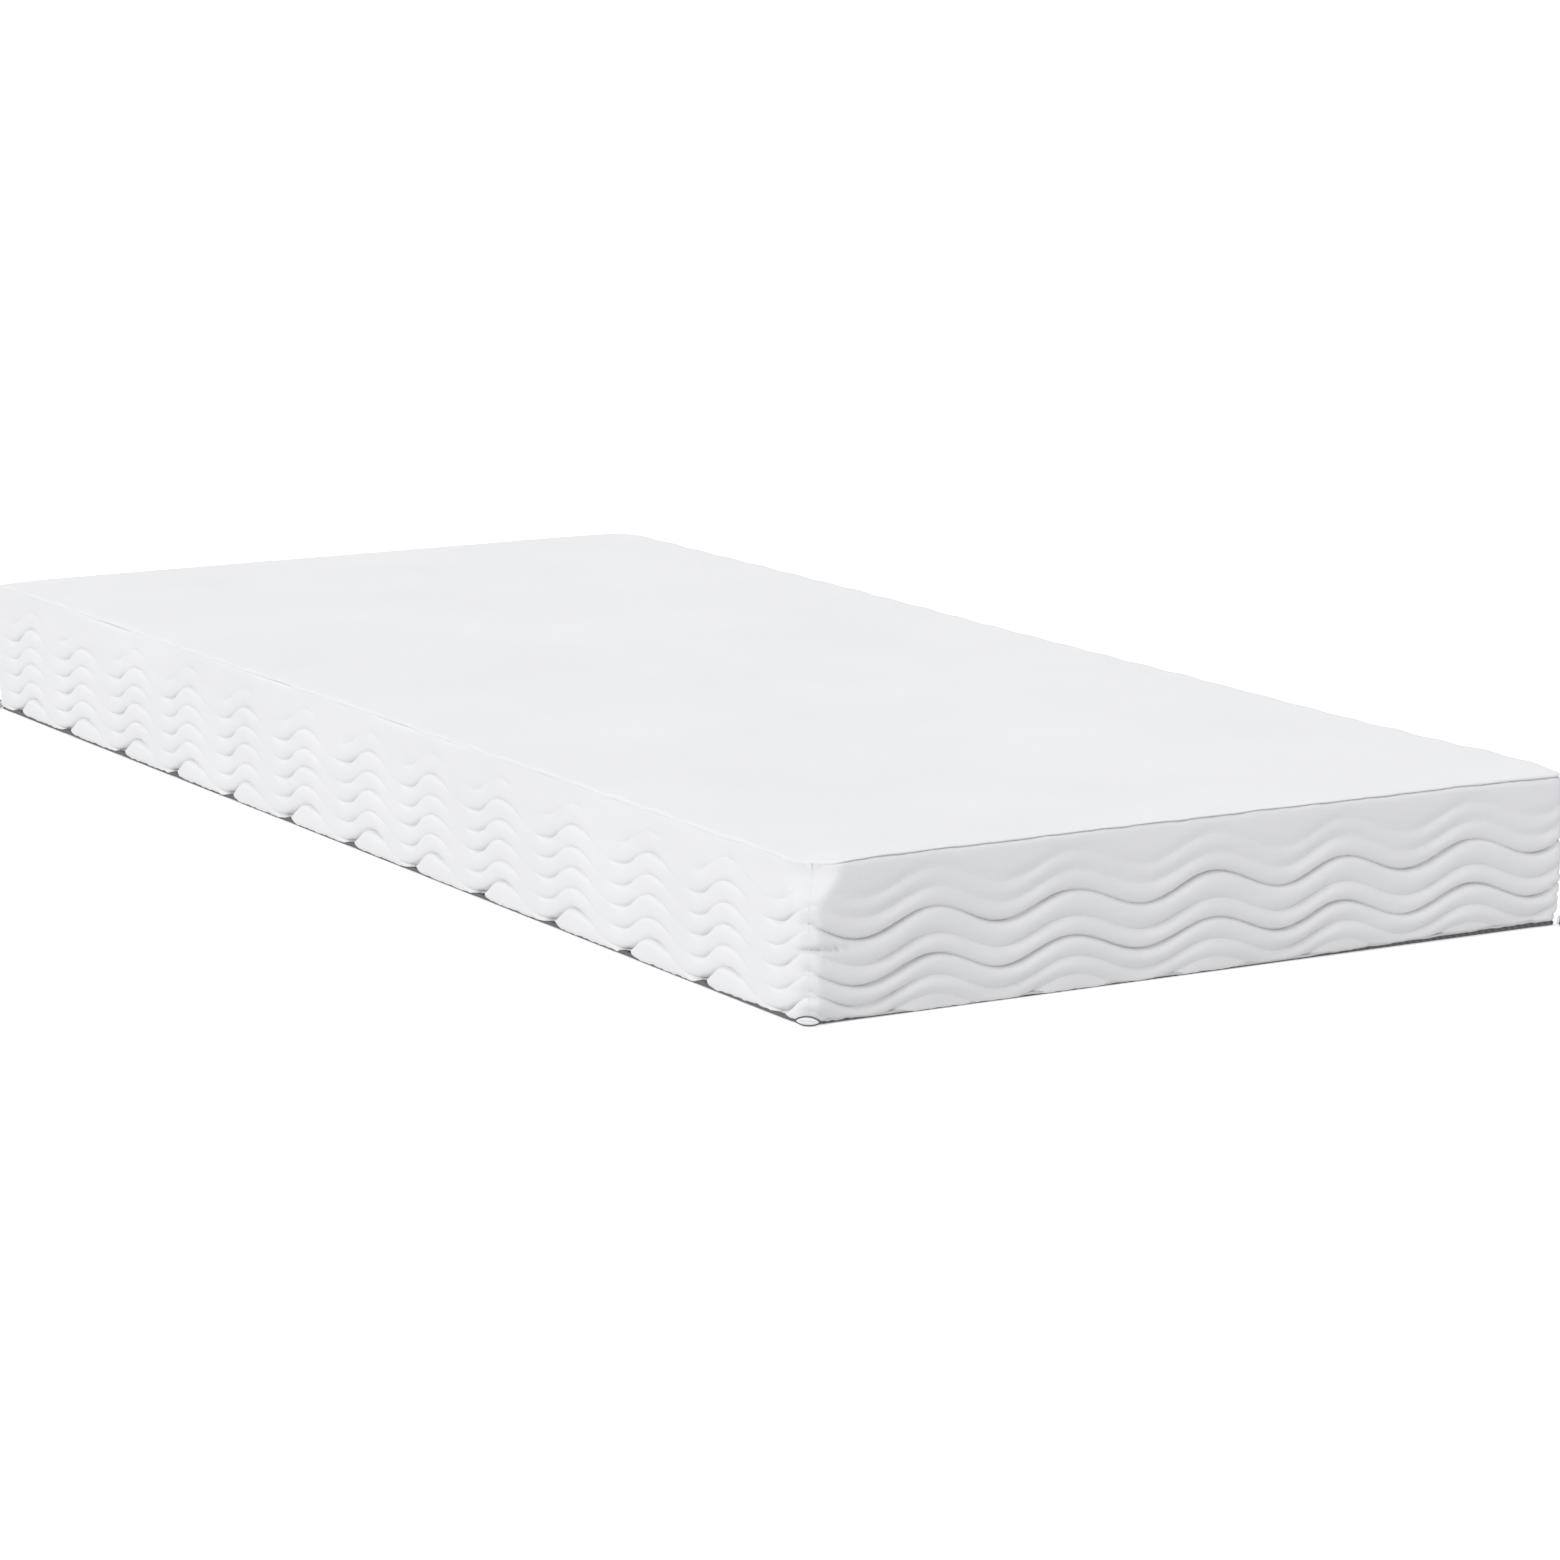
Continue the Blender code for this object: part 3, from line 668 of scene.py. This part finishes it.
def make_base():
    """The dark base fabric: flat under the mattress, turned up to the seam round its edge. The
    turned-up band is partly painted shade, standing in for the shadow gap under the border.
    """
    grid = plan_grid(0.02, BASE_RINGS)
    ring = grid["ring"]
    inset = np.interp(ring, BASE_RINGS, BASE_INSETS)
    inset = inset + 0.0004 * wobble(grid["along"], 71, 0.031) * smooth_step(0.004, 0.001, ring)
    inset = inset + by_side(edge_setback, grid) * smooth_step(0.021, 0.002, ring)
    x, y = plan_place(grid, inset, 0.0)
    z = by_side(edge_height, grid) * np.interp(ring, BASE_RINGS, BASE_RISES)
    points, uv = np.stack([x, y, z], -1), np.stack([x + z, y + z], -1)
    obj = make_mesh("base_fabric_panel", points, grid_faces(*x.shape), uv)
    middle = obj.data.polygons[len(obj.data.polygons) // 2]
    thicken(obj, BASE_THICKNESS, 1.0 if middle.normal.z > 0 else -1.0)
    return obj


# ---- threads, cords and tapes

def add_thread(verts, faces, start, ring, end):
    """One short thread: four points round its middle, drawn to a point at both ends."""
    first = len(verts)
    verts += [start, *ring, end]
    for a in range(4):
        b = (a + 1) % 4
        faces += [(first, first + 1 + b, first + 1 + a), (first + 5, first + 1 + a, first + 1 + b)]


def unit(vectors):
    return vectors / np.linalg.norm(vectors, axis=1, keepdims=True)


def stitches(side, lows):
    """One small thread over each quilting stitch, lying in the stitch lines."""
    reach = reach_of(side)
    starts = np.arange(-reach + STITCH_FREE, reach - STITCH_FREE, STITCH_STEP)
    verts, faces, uvs = [], [], []

    def sewn(number, along, lift):
        z = line_height(side, number, along)
        low, high = lows(side, along), seam_height(side, along)
        point = place(side, along, z, quilt_inset(side, along, z, low, high) + lift)
        return point, (z > low + 0.002) & (z < high - 0.002)

    for number in range(len(WAVES[side]["lines"])):
        first = starts + 0.0013 * number
        start, _ = sewn(number, first, 0.0003)
        end, keep = sewn(number, first + STITCH_LENGTH, 0.0003)
        middle, _ = sewn(number, first + STITCH_LENGTH / 2, -0.0002)
        deeper, _ = sewn(number, first + STITCH_LENGTH / 2, 0.001)
        out = unit(middle - deeper)
        across = np.cross(unit(end - start), out)
        for i in np.nonzero(keep)[0]:
            ring = [middle[i] + STITCH_RADIUS * d for d in (across[i], out[i], -across[i], -out[i])]
            add_thread(verts, faces, start[i], ring, end[i])
            uvs += [(starts[i], point) for point in range(6)]
    return make_mesh(side + "_quilting_thread", verts, faces, uvs)


def tube(name, path, radius, sides=8, closed=False):
    """A cord along a path of points, with flat ends unless it is closed."""
    if closed:
        tangent = unit(np.roll(path, -1, 0) - np.roll(path, 1, 0))
    else:
        tangent = unit(np.gradient(path, axis=0))
    upright = abs(tangent[:, 2]).mean() > 0.7
    across = unit(np.cross(tangent, [0.37, 0.93, 0.0] if upright else [0.0, 0.0, 1.0]))
    other = np.cross(across, tangent)
    angles = np.arange(sides) * 2 * pi / sides
    ring = across[:, None] * np.cos(angles)[:, None]
    ring = ring + other[:, None] * np.sin(angles)[:, None]
    verts = path[:, None] + radius * ring
    index = np.arange(len(path) * sides).reshape(-1, sides)
    rings = np.concatenate([index, index[:1]]) if closed else index
    turned = np.roll(rings, -1, 1)
    faces = np.stack([rings[:-1], turned[:-1], turned[1:], rings[1:]], -1).reshape(-1, 4).tolist()
    if not closed:
        faces += [index[0, ::-1].tolist(), index[-1].tolist()]
    steps = np.linalg.norm(np.diff(path, axis=0), axis=1)
    length = np.concatenate([[0], np.cumsum(steps)])
    uv = np.stack(np.broadcast_arrays(length[:, None], angles * radius), -1)
    return make_mesh(name, verts, faces, uv)


def seam_cord(name, height, inset, radius):
    """A cord once round the mattress at a height that each side's function gives."""
    path = []
    for side in SIDES:
        reach = reach_of(side)
        along = np.linspace(reach, -reach, int(2 * reach / 0.006), endpoint=False)
        path.append(place(side, along, height(side, along), inset))
    return tube(name, np.concatenate(path), radius, closed=True)


def low_cord_height(side, along):
    """The bottom seam's cord follows the edge, but stays clear of the floor."""
    return np.maximum(edge_height(side, along), LOW_CORD_Z)


def side_ending_at(corner):
    return next(side for side, (_, end) in ENDS.items() if end == corner)


def make_corner_seam(corner):
    """The upright seam between two border panels."""
    z = np.linspace(EDGE_Z + 0.003, SEAM_Z - CORNER_DIPS[corner] - 0.008, 60)
    side = side_ending_at(corner)
    path = place(side, reach_of(side), z, 0.0042 + 0.0003 * np.sin(2 * pi * z / 0.021))
    return tube("corner_seam_cord_" + corner, path, 0.001, 6)


TAB_HALF_WIDTH = 0.0118
TAB_HALF_HEIGHT = 0.0038
TAB_FULLNESS = 0.003
TAB_TURNS = 40
TAB_RINGS = 9


def tab_outline(angle, share=1.0, grow=0.0):
    """Across and up from a corner loop's middle to a flattened round at a share of its size."""
    flat = 1 - 0.25 * share * np.abs(np.cos(angle)) ** 3
    wide, high = (TAB_HALF_WIDTH + grow) * share, (TAB_HALF_HEIGHT + grow) * share
    return wide * np.cos(angle), high * np.sin(angle) * flat


def make_tab(corner):
    """A corner's folded seam end: a flattened loop of knit, and round it a dark rim of base fabric
    that is painted shade along the loop's edge.
    """
    angle = CORNERS[corner][0]
    side = side_ending_at(corner)
    out, across = np.array([(cos(angle), sin(angle), 0), (-sin(angle), cos(angle), 0)])
    up = np.array([0, 0, 1])
    middle = place(side, reach_of(side), 0.004, -0.003)
    middle[2] = TAB_HALF_HEIGHT + 0.0013
    share = np.repeat(np.arange(1, TAB_RINGS + 1) / TAB_RINGS, TAB_TURNS)[:, None]
    turns = np.tile(np.arange(TAB_TURNS) * 2 * pi / TAB_TURNS, TAB_RINGS)[:, None]
    width, height = tab_outline(turns, share)
    fold = 0.45 * bell(height / 0.0007) * (1 - share**2)
    full = TAB_FULLNESS * (np.sqrt(1 - share**2) - fold)
    front = middle + across * width + up * height + out * full
    tip = middle + out * TAB_FULLNESS * 0.8
    verts = np.concatenate([[tip], front, front[-TAB_TURNS:] - out * 0.0035])
    last = len(verts) - TAB_TURNS
    faces = []
    for turn in range(TAB_TURNS):
        following = (turn + 1) % TAB_TURNS
        faces.append([0, 1 + turn, 1 + following])
        for first in range(1, last, TAB_TURNS):
            a, b = first + turn, first + following
            faces.append([a, a + TAB_TURNS, b + TAB_TURNS, b])
    faces.append([last + turn for turn in range(TAB_TURNS)])
    uv = np.stack([verts @ across, verts[:, 2]], 1)
    pad = make_mesh("corner_loop_" + corner, verts, faces, uv)
    # painted shade: a dark cord round the loop's edge stands in for the shadow along its rim
    turns = np.linspace(0, 2 * pi, 48, endpoint=False)[:, None]
    width, height = tab_outline(turns, grow=0.0002)
    rim = middle + across * width + up * height + out * 0.0003 * np.sin(3 * turns)
    return pad, tube("corner_loop_shade_rim_" + corner, rim, 0.001, closed=True)


# ---- the zip and the label

COIL_PITCH = 0.0016
COIL_WIRE = 0.00036
COIL_STEPS = 8
COIL_OVERLAP = 0.00035
ZIP_STITCH_STEP = 0.0036
ZIP_STITCH_LENGTH = 0.0027
ZIP_STITCH_RING = ((0, 0.00036), (0.0004, 0), (0, -0.00036), (-0.0004, 0))
LABEL_THICKNESS = 0.0004


def make_coil(name, node, sign):
    """One half of the zip's chain: a coil of nylon wire whose loops reach into the other half."""
    low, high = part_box(node)
    turns = int((high[0] - low[0] - 2 * COIL_WIRE) / COIL_PITCH)
    start = (low[0] + high[0]) / 2 + COIL_PITCH * (sign / 4 - turns / 2)
    t = np.arange(turns * COIL_STEPS + 1) / COIL_STEPS
    zip_z = 0.5 * (ZIP_SLOT_LOW + ZIP_SLOT_HIGH)
    outer = max(abs(low[2] - zip_z), abs(high[2] - zip_z)) - COIL_WIRE
    middle, reach = (outer - COIL_OVERLAP) / 2, (outer + COIL_OVERLAP) / 2
    depth = (high[1] - low[1]) / 2 - COIL_WIRE
    angle = 2 * pi * t
    x = start + COIL_PITCH * (t - 0.1 * np.sin(2 * angle))
    y = (low[1] + high[1]) / 2 + depth * np.sin(angle)
    z = zip_z + sign * (middle - reach * np.cos(angle))
    return tube(name, np.stack([x, y, z], 1), COIL_WIRE, 5)


def make_zip_stitches(name, height, surface):
    """A row of stitches that holds a fabric edge to the zip's tape; surface gives its inset."""
    half = ZIP_HALF - STITCH_FREE
    verts, faces, uvs = [], [], []
    for start in np.arange(-half, half - 0.004, ZIP_STITCH_STEP):
        inset = surface(start + 0.0013, height) - 0.0001
        ends = [place("head", start + d, height, inset) for d in (0.0, ZIP_STITCH_LENGTH)]
        ring = [(ends[0] + ends[1]) / 2 + [0, dy, dz] for dy, dz in ZIP_STITCH_RING]
        add_thread(verts, faces, ends[0], ring, ends[1])
        uvs += [(start, height)] * 6
    return make_mesh(name, verts, faces, uvs)


def upper_hem_inset(along, z):
    """The quilted border's surface over the zip."""
    return quilt_inset("head", along, z, slot_low("head", along), seam_height("head", along))


def lower_hem_inset(along, z):
    """The surface of the padded strip under the zip."""
    low, high = edge_height("head", along), slot_high("head", along)
    return strip_inset(along, (z - low) / (high - low), STRIP_BULGE)


def make_label():
    """A blank woven label, hanging from the top seam over the quilting."""
    low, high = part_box("care_label")
    along = np.linspace(low[0], high[0], 13)
    tall = np.linspace(0, high[2] - low[2], 19)
    top = seam_height("head", along)
    z = top - 0.0006 - tall[:, None]
    face = quilt_inset("head", along, z, slot_low("head", along), top)
    smooth = face.copy()
    for _ in range(12):
        smooth[1:-1] = (smooth[:-2] + 2 * smooth[1:-1] + smooth[2:]) / 4
        smooth[-1] = smooth[-2]
    hang = np.minimum(smooth, face) - 0.0007
    down = (tall / tall[-1])[:, None]
    bow = 0.0006 * np.cos(2 * pi * (along - low[0]) / (high[0] - low[0]))
    hang = hang - 0.0022 * down**3 - bow * down
    points = place("head", along, z, hang)
    uv = np.stack(np.broadcast_arrays(along, z), -1)
    obj = make_mesh("care_label_sheet", points, grid_faces(*z.shape), uv)
    thicken(obj, LABEL_THICKNESS, 0)
    return obj


# ---- materials

def connect(tree, value, socket):
    """Set an input to a value, or link it to another node's output."""
    if isinstance(value, bpy.types.NodeSocket):
        tree.links.new(value, socket)
    else:
        socket.default_value = value


def add_node(tree, kind, inputs, **settings):
    node = tree.nodes.new("ShaderNode" + kind)
    for name, value in settings.items():
        setattr(node, name, value)
    for name, value in inputs.items():
        connect(tree, value, node.inputs[name])
    return node


def maths(tree, operation, *values):
    return add_node(tree, "Math", dict(enumerate(values)), operation=operation).outputs[0]


def weighted_sum(tree, *parts):
    """The sum of some values, each times its weight."""
    terms = [value if weight == 1 else maths(tree, "MULTIPLY", value, weight)
             for value, weight in parts]
    total = terms[0]
    for term in terms[1:]:
        total = maths(tree, "ADD", total, term)
    return total


def noise(tree, vector, scale, detail):
    inputs = {"Scale": scale, "Detail": detail, "Vector": vector}
    return add_node(tree, "TexNoise", inputs).outputs["Fac"]


def remap(tree, value, low, high, start=0.0):
    """Spread a value that runs from start to 1 over low to high."""
    inputs = {"Value": value, "From Min": start, "To Min": low, "To Max": high}
    return add_node(tree, "MapRange", inputs).outputs["Result"]


def mix_colours(tree, share, first, second):
    if isinstance(first, tuple):
        first = (*first, 1)
    inputs = {"Factor": share, "A": first, "B": (*second, 1)}
    return add_node(tree, "Mix", inputs, data_type="RGBA").outputs["Result"]


def coordinates(tree, kind):
    return tree.nodes.new("ShaderNodeTexCoord").outputs[kind]


def axes(tree, kind):
    return add_node(tree, "SeparateXYZ", {0: coordinates(tree, kind)}).outputs


def ridges(tree, value, pitch):
    """Even ridges across a coordinate."""
    return maths(tree, "SINE", maths(tree, "MULTIPLY", value, 2 * pi / pitch))


def new_material(name):
    material = bpy.data.materials.new(name)
    material.use_nodes = True
    tree = material.node_tree
    return material, tree, coordinates(tree, "Object")


def wire_shader(tree, colour, roughness, relief=None, **extras):
    """Connect a material's shader; relief is a height and its depth in metres."""
    shader = tree.nodes["Principled BSDF"]
    inputs = {"Base Color": colour, "Roughness": roughness}
    if relief is not None:
        height, depth = relief
        node = add_node(tree, "Bump", {"Height": height, "Distance": depth, "Strength": 1.0})
        inputs["Normal"] = node.outputs["Normal"]
    inputs.update((name.replace("_", " "), value) for name, value in extras.items())
    for name, value in inputs.items():
        connect(tree, value, shader.inputs[name])


KNIT_WALE = 0.0014
KNIT_COURSE = 0.0011
KNIT_DEPTH = 0.00016


def knit_height(tree):
    """Columns of small V-shaped loops, from the metres of the surface."""
    u, v, _ = axes(tree, "UV")
    column = maths(tree, "FRACT", maths(tree, "DIVIDE", u, KNIT_WALE))
    slant = maths(tree, "ABSOLUTE", maths(tree, "SUBTRACT", column, 0.5))
    phase = maths(tree, "ADD", maths(tree, "DIVIDE", v, KNIT_COURSE), slant)
    loop = maths(tree, "MULTIPLY", ridges(tree, phase, 1.0), 0.35)
    valley = maths(tree, "SINE", maths(tree, "MULTIPLY", column, pi))
    return maths(tree, "MULTIPLY", maths(tree, "ADD", loop, 0.65), valley)


def knit_material(name, dark, light):
    """Fine knit, a little fuzzy and patchy."""
    material, tree, where = new_material(name)
    knit = knit_height(tree)
    fuzz = noise(tree, where, 1400, 2)
    tint = weighted_sum(tree, (knit, 0.35), (noise(tree, where, 5, 4), 0.9))
    height = weighted_sum(tree, (knit, 1), (fuzz, 0.5))
    wire_shader(tree, mix_colours(tree, tint, dark, light), remap(tree, fuzz, 0.78, 0.96),
                (height, KNIT_DEPTH), Sheen_Weight=0.25, Sheen_Roughness=0.5,
                Specular_IOR_Level=0.25)
    return material


def base_fabric_and_shade_material():
    """Dark woven base fabric with rows of small rubbery grip dots. Its darkness is partly the
    fabric's own and partly painted shade where it shows: the band round the base and the rim round
    the corner loops.
    """
    material, tree, where = new_material("base_fabric_weave_and_painted_shade")
    u, v, _ = axes(tree, "UV")
    weave = maths(tree, "MULTIPLY", ridges(tree, u, 0.0016), ridges(tree, v, 0.0016))
    inputs = {"Scale": 120, "Randomness": 0.0, "Vector": coordinates(tree, "UV")}
    cells = add_node(tree, "TexVoronoi", inputs)
    dot = maths(tree, "LESS_THAN", cells.outputs["Distance"], 0.28)
    fuzz = noise(tree, where, 900, 3)
    height = weighted_sum(tree, (weave, 0.25), (dot, 1.2), (fuzz, 0.3))
    fabric = mix_colours(tree, fuzz, (0.105, 0.106, 0.11), (0.175, 0.176, 0.18))
    colour = mix_colours(tree, dot, fabric, (0.075, 0.075, 0.078))
    wire_shader(tree, colour, remap(tree, dot, 0.92, 0.55), (height, 0.0003))
    return material


def grained_material(name, grain, depth, colours, roughness, **extras):
    """One fine grain that gives relief, colour and roughness: thread, nylon and metal."""
    material, tree, where = new_material(name)
    fac = noise(tree, where, *grain)
    colour = mix_colours(tree, fac, *colours)
    wire_shader(tree, colour, remap(tree, fac, *roughness), (fac, depth), **extras)
    return material


def foam_material(name, dark, light, cell):
    """Open-celled foam: fine pits, slightly uneven in colour."""
    material, tree, where = new_material(name)
    cells = add_node(tree, "TexVoronoi", {"Scale": 1 / cell, "Vector": where})
    fine = noise(tree, where, 0.6 / cell, 4)
    height = weighted_sum(tree, (cells.outputs["Distance"], 1), (fine, 0.5))
    colour = mix_colours(tree, height, dark, light)
    wire_shader(tree, colour, remap(tree, fine, 0.88, 1.0), (height, cell * 0.5))
    return material


def fibre_material(name, dark, light, scale):
    """Felted fibres, for nonwoven backing, glue web and seam tape."""
    material, tree, where = new_material(name)
    stretch = add_node(tree, "Mapping", {"Scale": (1, 0.2, 0.5), "Vector": where})
    fibres = noise(tree, stretch.outputs["Vector"], scale, 8)
    colour = mix_colours(tree, fibres, dark, light)
    wire_shader(tree, colour, remap(tree, fibres, 0.85, 1.0), (fibres, 0.0005))
    return material


def tape_material(name, dark, light, pitch):
    """Fine woven tape, ribbed across its width."""
    material, tree, where = new_material(name)
    x, _, z = axes(tree, "Object")
    fuzz = noise(tree, where, 1800, 2)
    ribs, rows = ridges(tree, x, pitch), ridges(tree, z, pitch * 0.6)
    height = weighted_sum(tree, (ribs, 0.5), (rows, 0.3), (fuzz, 1))
    colour = mix_colours(tree, remap(tree, height, 0.1, 0.9), dark, light)
    roughness = remap(tree, fuzz, 0.6, 0.85)
    wire_shader(tree, colour, roughness, (height, pitch * 0.08), Sheen_Weight=0.15)
    return material


# ---- putting it together

def finish_piece(obj, material, nodes=()):
    """Dress a piece, say what it rides on and hide the nodes it replaces."""
    obj.data.materials.clear()
    obj.data.materials.append(material)
    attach(obj, "mattress")
    if nodes:
        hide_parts(*nodes)


def hem_share(along):
    """1 along the zip, where the fabric edges reach over its tapes, and 0 past its ends."""
    return smooth_step(ZIP_HALF + 0.004, ZIP_HALF - 0.012, np.abs(along))


def slot_low(_, along, gap=0.0):
    """The quilted border's lower edge at the head end, less a gap."""
    return ZIP_SLOT_HIGH - ZIP_HEM * hem_share(along) - gap


def slot_high(_, along, gap=0.0):
    """The upper edge of the strip under the zip, and a gap."""
    return ZIP_SLOT_LOW + ZIP_HEM * hem_share(along) + gap


def make_borders(knit, thread):
    """The quilted borders with their stitches, and what closes the head end round the zip."""
    for side in ("foot", "left", "right", "head"):
        low, depth = (slot_low, ZIP_HEM_DEPTH) if side == "head" else (edge_height, LAMINATE)
        nodes = [side + "_border_panel", side + "_border_wadding"]
        finish_piece(quilted_border(side, low, depth), knit, nodes)
        finish_piece(stitches(side, low), thread)
    reach = reach_of("head") - SEAM_HALF_GAP
    depths = (LAMINATE * 0.8, ZIP_HEM_DEPTH)
    ends = (-reach, reach)
    lower = head_strip("head_lower_strip", *ends, edge_height, slot_high, depths, STRIP_BULGE)
    finish_piece(lower, knit, ["head_lower_panel", "head_lower_wadding"])
    edges = [partial(edge, gap=ZIP_GAP) for edge in (slot_high, slot_low)]
    for name, sign in (("left", -1), ("right", 1)):
        ends = sorted((sign * (ZIP_HALF + 2 * ZIP_GAP), sign * reach))
        piece = head_strip("zip_end_cover_" + name, *ends, *edges, (0.004, 0.004), 0.001)
        finish_piece(piece, knit, ["zip_end_panel_" + name])


def make_zip(nylon, thread):
    """The zip's coils and the stitches that hold it; its slider and pull are the frame's own."""
    for name, sign in (("upper", 1), ("lower", -1)):
        node = "zip_chain_" + name
        finish_piece(make_coil("zip_coil_" + name, node, sign), nylon, [node])
    upper_z, lower_z = ZIP_SLOT_HIGH - ZIP_HEM + 0.0035, ZIP_SLOT_LOW + ZIP_HEM - 0.003
    upper = make_zip_stitches("zip_stitches_upper", upper_z, upper_hem_inset)
    lower = make_zip_stitches("zip_stitches_lower", lower_z, lower_hem_inset)
    finish_piece(upper, thread)
    finish_piece(lower, thread)


def dress_nodes(table):
    """Procedural materials for the CAD nodes that stay."""
    for material, nodes in table:
        for node in nodes:
            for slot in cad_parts[node].material_slots:
                slot.material = material


FLOOR_Z = -0.0004
FLOOR_GLOW = 0.35
SKY_STRENGTH = (0.658, 0.976)
SKY_COLOUR = (0.985, 0.99, 1.0, 1)
KEY_DIRECTION = (-0.88, -0.15, 0.42)
KEY_STRENGTH = 0.89
KEY_ANGLE = 40


def make_stage():
    """A wide pale floor that glows a little, which keeps it nearly white."""
    bm = bmesh.new()
    bmesh.ops.create_grid(bm, x_segments=2, y_segments=2, size=60)
    mesh = bpy.data.meshes.new("floor")
    bm.to_mesh(mesh)
    bm.free()
    floor = link_object("floor", mesh)
    floor.location.z = FLOOR_Z
    material, tree, where = new_material("pale_floor")
    speck = noise(tree, where, 3, 2)
    colour = mix_colours(tree, speck, (0.93,) * 3, (0.95,) * 3)
    wire_shader(tree, colour, 0.9, Emission_Color=(1, 1, 1, 1), Emission_Strength=FLOOR_GLOW)
    mesh.materials.append(material)
    floor.visible_diffuse = False


def make_light():
    """An even sky, brighter overhead, and one broad light from the left."""
    scene = bpy.context.scene
    scene.world = bpy.data.worlds.new("studio")
    scene.world.use_nodes = True
    tree = scene.world.node_tree
    back = tree.nodes["Background"]
    strength = remap(tree, axes(tree, "Generated")[2], *SKY_STRENGTH, start=-1.0)
    connect(tree, strength, back.inputs["Strength"])
    back.inputs["Color"].default_value = SKY_COLOUR
    light = bpy.data.lights.new("key", "SUN")
    light.energy = KEY_STRENGTH
    light.angle = radians(KEY_ANGLE)
    obj = link_object("key", light)
    obj.rotation_euler = Vector(KEY_DIRECTION).to_track_quat("Z", "Y").to_euler()
    scene.view_settings.view_transform = "Standard"


CAMERA_PLACE = (-2.95, -5.244, 1.179)
CAMERA_TARGET = (-0.0559, -0.2748, 0.08)
CAMERA_LENS = 124.09


def make_camera():
    data = bpy.data.cameras.new("camera")
    data.lens = CAMERA_LENS
    data.sensor_width = 36
    obj = link_object("camera", data)
    obj.location = CAMERA_PLACE
    look = Vector(CAMERA_TARGET) - Vector(CAMERA_PLACE)
    obj.rotation_euler = look.to_track_quat("-Z", "Y").to_euler()
    bpy.context.scene.camera = obj


make_camera()
make_stage()
make_light()

TOP_KNIT = knit_material("top_stretch_knit", (0.8, 0.8, 0.805), (0.87, 0.87, 0.875))
BORDER_KNIT = knit_material("border_quilted_knit", (0.79, 0.79, 0.8), (0.87, 0.87, 0.88))
THREAD = grained_material(
    "quilting_thread_twist", (2200, 2), 0.0001, ((0.72,) * 3, (0.84,) * 3),
    (0.45, 0.7), Sheen_Weight=0.2)
TAPE = fibre_material("seam_tape_weave", (0.55,) * 3, (0.68,) * 3, 900)
BASE_FABRIC_AND_SHADE = base_fabric_and_shade_material()
BACKING = fibre_material("backing_nonwoven", (0.76, 0.76, 0.74), (0.88, 0.88, 0.86), 500)
LINER = knit_material("liner_tube_knit", (0.8, 0.8, 0.77), (0.9, 0.9, 0.87))
MEMORY = foam_material("memory_foam_cells", (0.74, 0.68, 0.5), (0.88, 0.83, 0.68), 0.0012)
SUPPORT = foam_material("support_foam_cells", (0.7, 0.72, 0.74), (0.86, 0.87, 0.88), 0.0022)
GLUE = fibre_material("adhesive_web", (0.7, 0.64, 0.42), (0.86, 0.8, 0.6), 120)
METAL = grained_material(
    "zip_satin_metal", (1800, 6), 0.00003, ((0.4, 0.4, 0.41), (0.56, 0.56, 0.57)),
    (0.22, 0.42), Metallic=1.0)
ZIP_TAPE = tape_material("zip_tape_weave", (0.7, 0.7, 0.71), (0.84, 0.84, 0.85), 0.0011)
LABEL_CLOTH = tape_material("label_satin_weave", (0.8, 0.8, 0.79), (0.9, 0.9, 0.89), 0.0005)
NYLON = grained_material(
    "zip_nylon_coil", (1500, 3), 0.00004, ((0.76,) * 3, (0.86,) * 3),
    (0.28, 0.42))

finish_piece(make_top(), TOP_KNIT, ["top_panel", "top_wadding"])
# the base panel's dark turned-up band is partly painted shade under the border's edge
BASE_PANEL = make_base()
finish_piece(BASE_PANEL, BASE_FABRIC_AND_SHADE, ["bottom_panel"])
make_borders(BORDER_KNIT, THREAD)
TOP_CORD = seam_cord("top_seam_cord", seam_height, 0.0056, 0.0011)
LOW_CORD = seam_cord("bottom_seam_cord", low_cord_height, 0.006, 0.0012)
finish_piece(TOP_CORD, TAPE, ["top_seam_tape"])
finish_piece(LOW_CORD, TAPE, ["bottom_seam_tape"])
for corner in CORNERS:
    finish_piece(make_corner_seam(corner), TAPE, ["corner_seam_" + corner])
    LOOP, LOOP_SHADE_RIM = make_tab(corner)
    finish_piece(LOOP, BORDER_KNIT, ["corner_tab_" + corner])
    # the dark rim round the loop is painted shade
    finish_piece(LOOP_SHADE_RIM, BASE_FABRIC_AND_SHADE)
make_zip(NYLON, THREAD)
LABEL = make_label()
finish_piece(LABEL, LABEL_CLOTH, ["care_label"])

dress_nodes((
    (ZIP_TAPE, ("zip_tape_upper", "zip_tape_lower")),
    (METAL, ("zip_stop_left", "zip_stop_right", "zip_slider", "zip_pull")),
    (LINER, ("core_liner_upper", "core_liner_lower")),
    (MEMORY, ("memory_foam",)),
    (GLUE, ("glue_film",)),
    (SUPPORT, ("support_foam",)),
    (BACKING, [side + "_border_backing" for side in SIDES]),
))
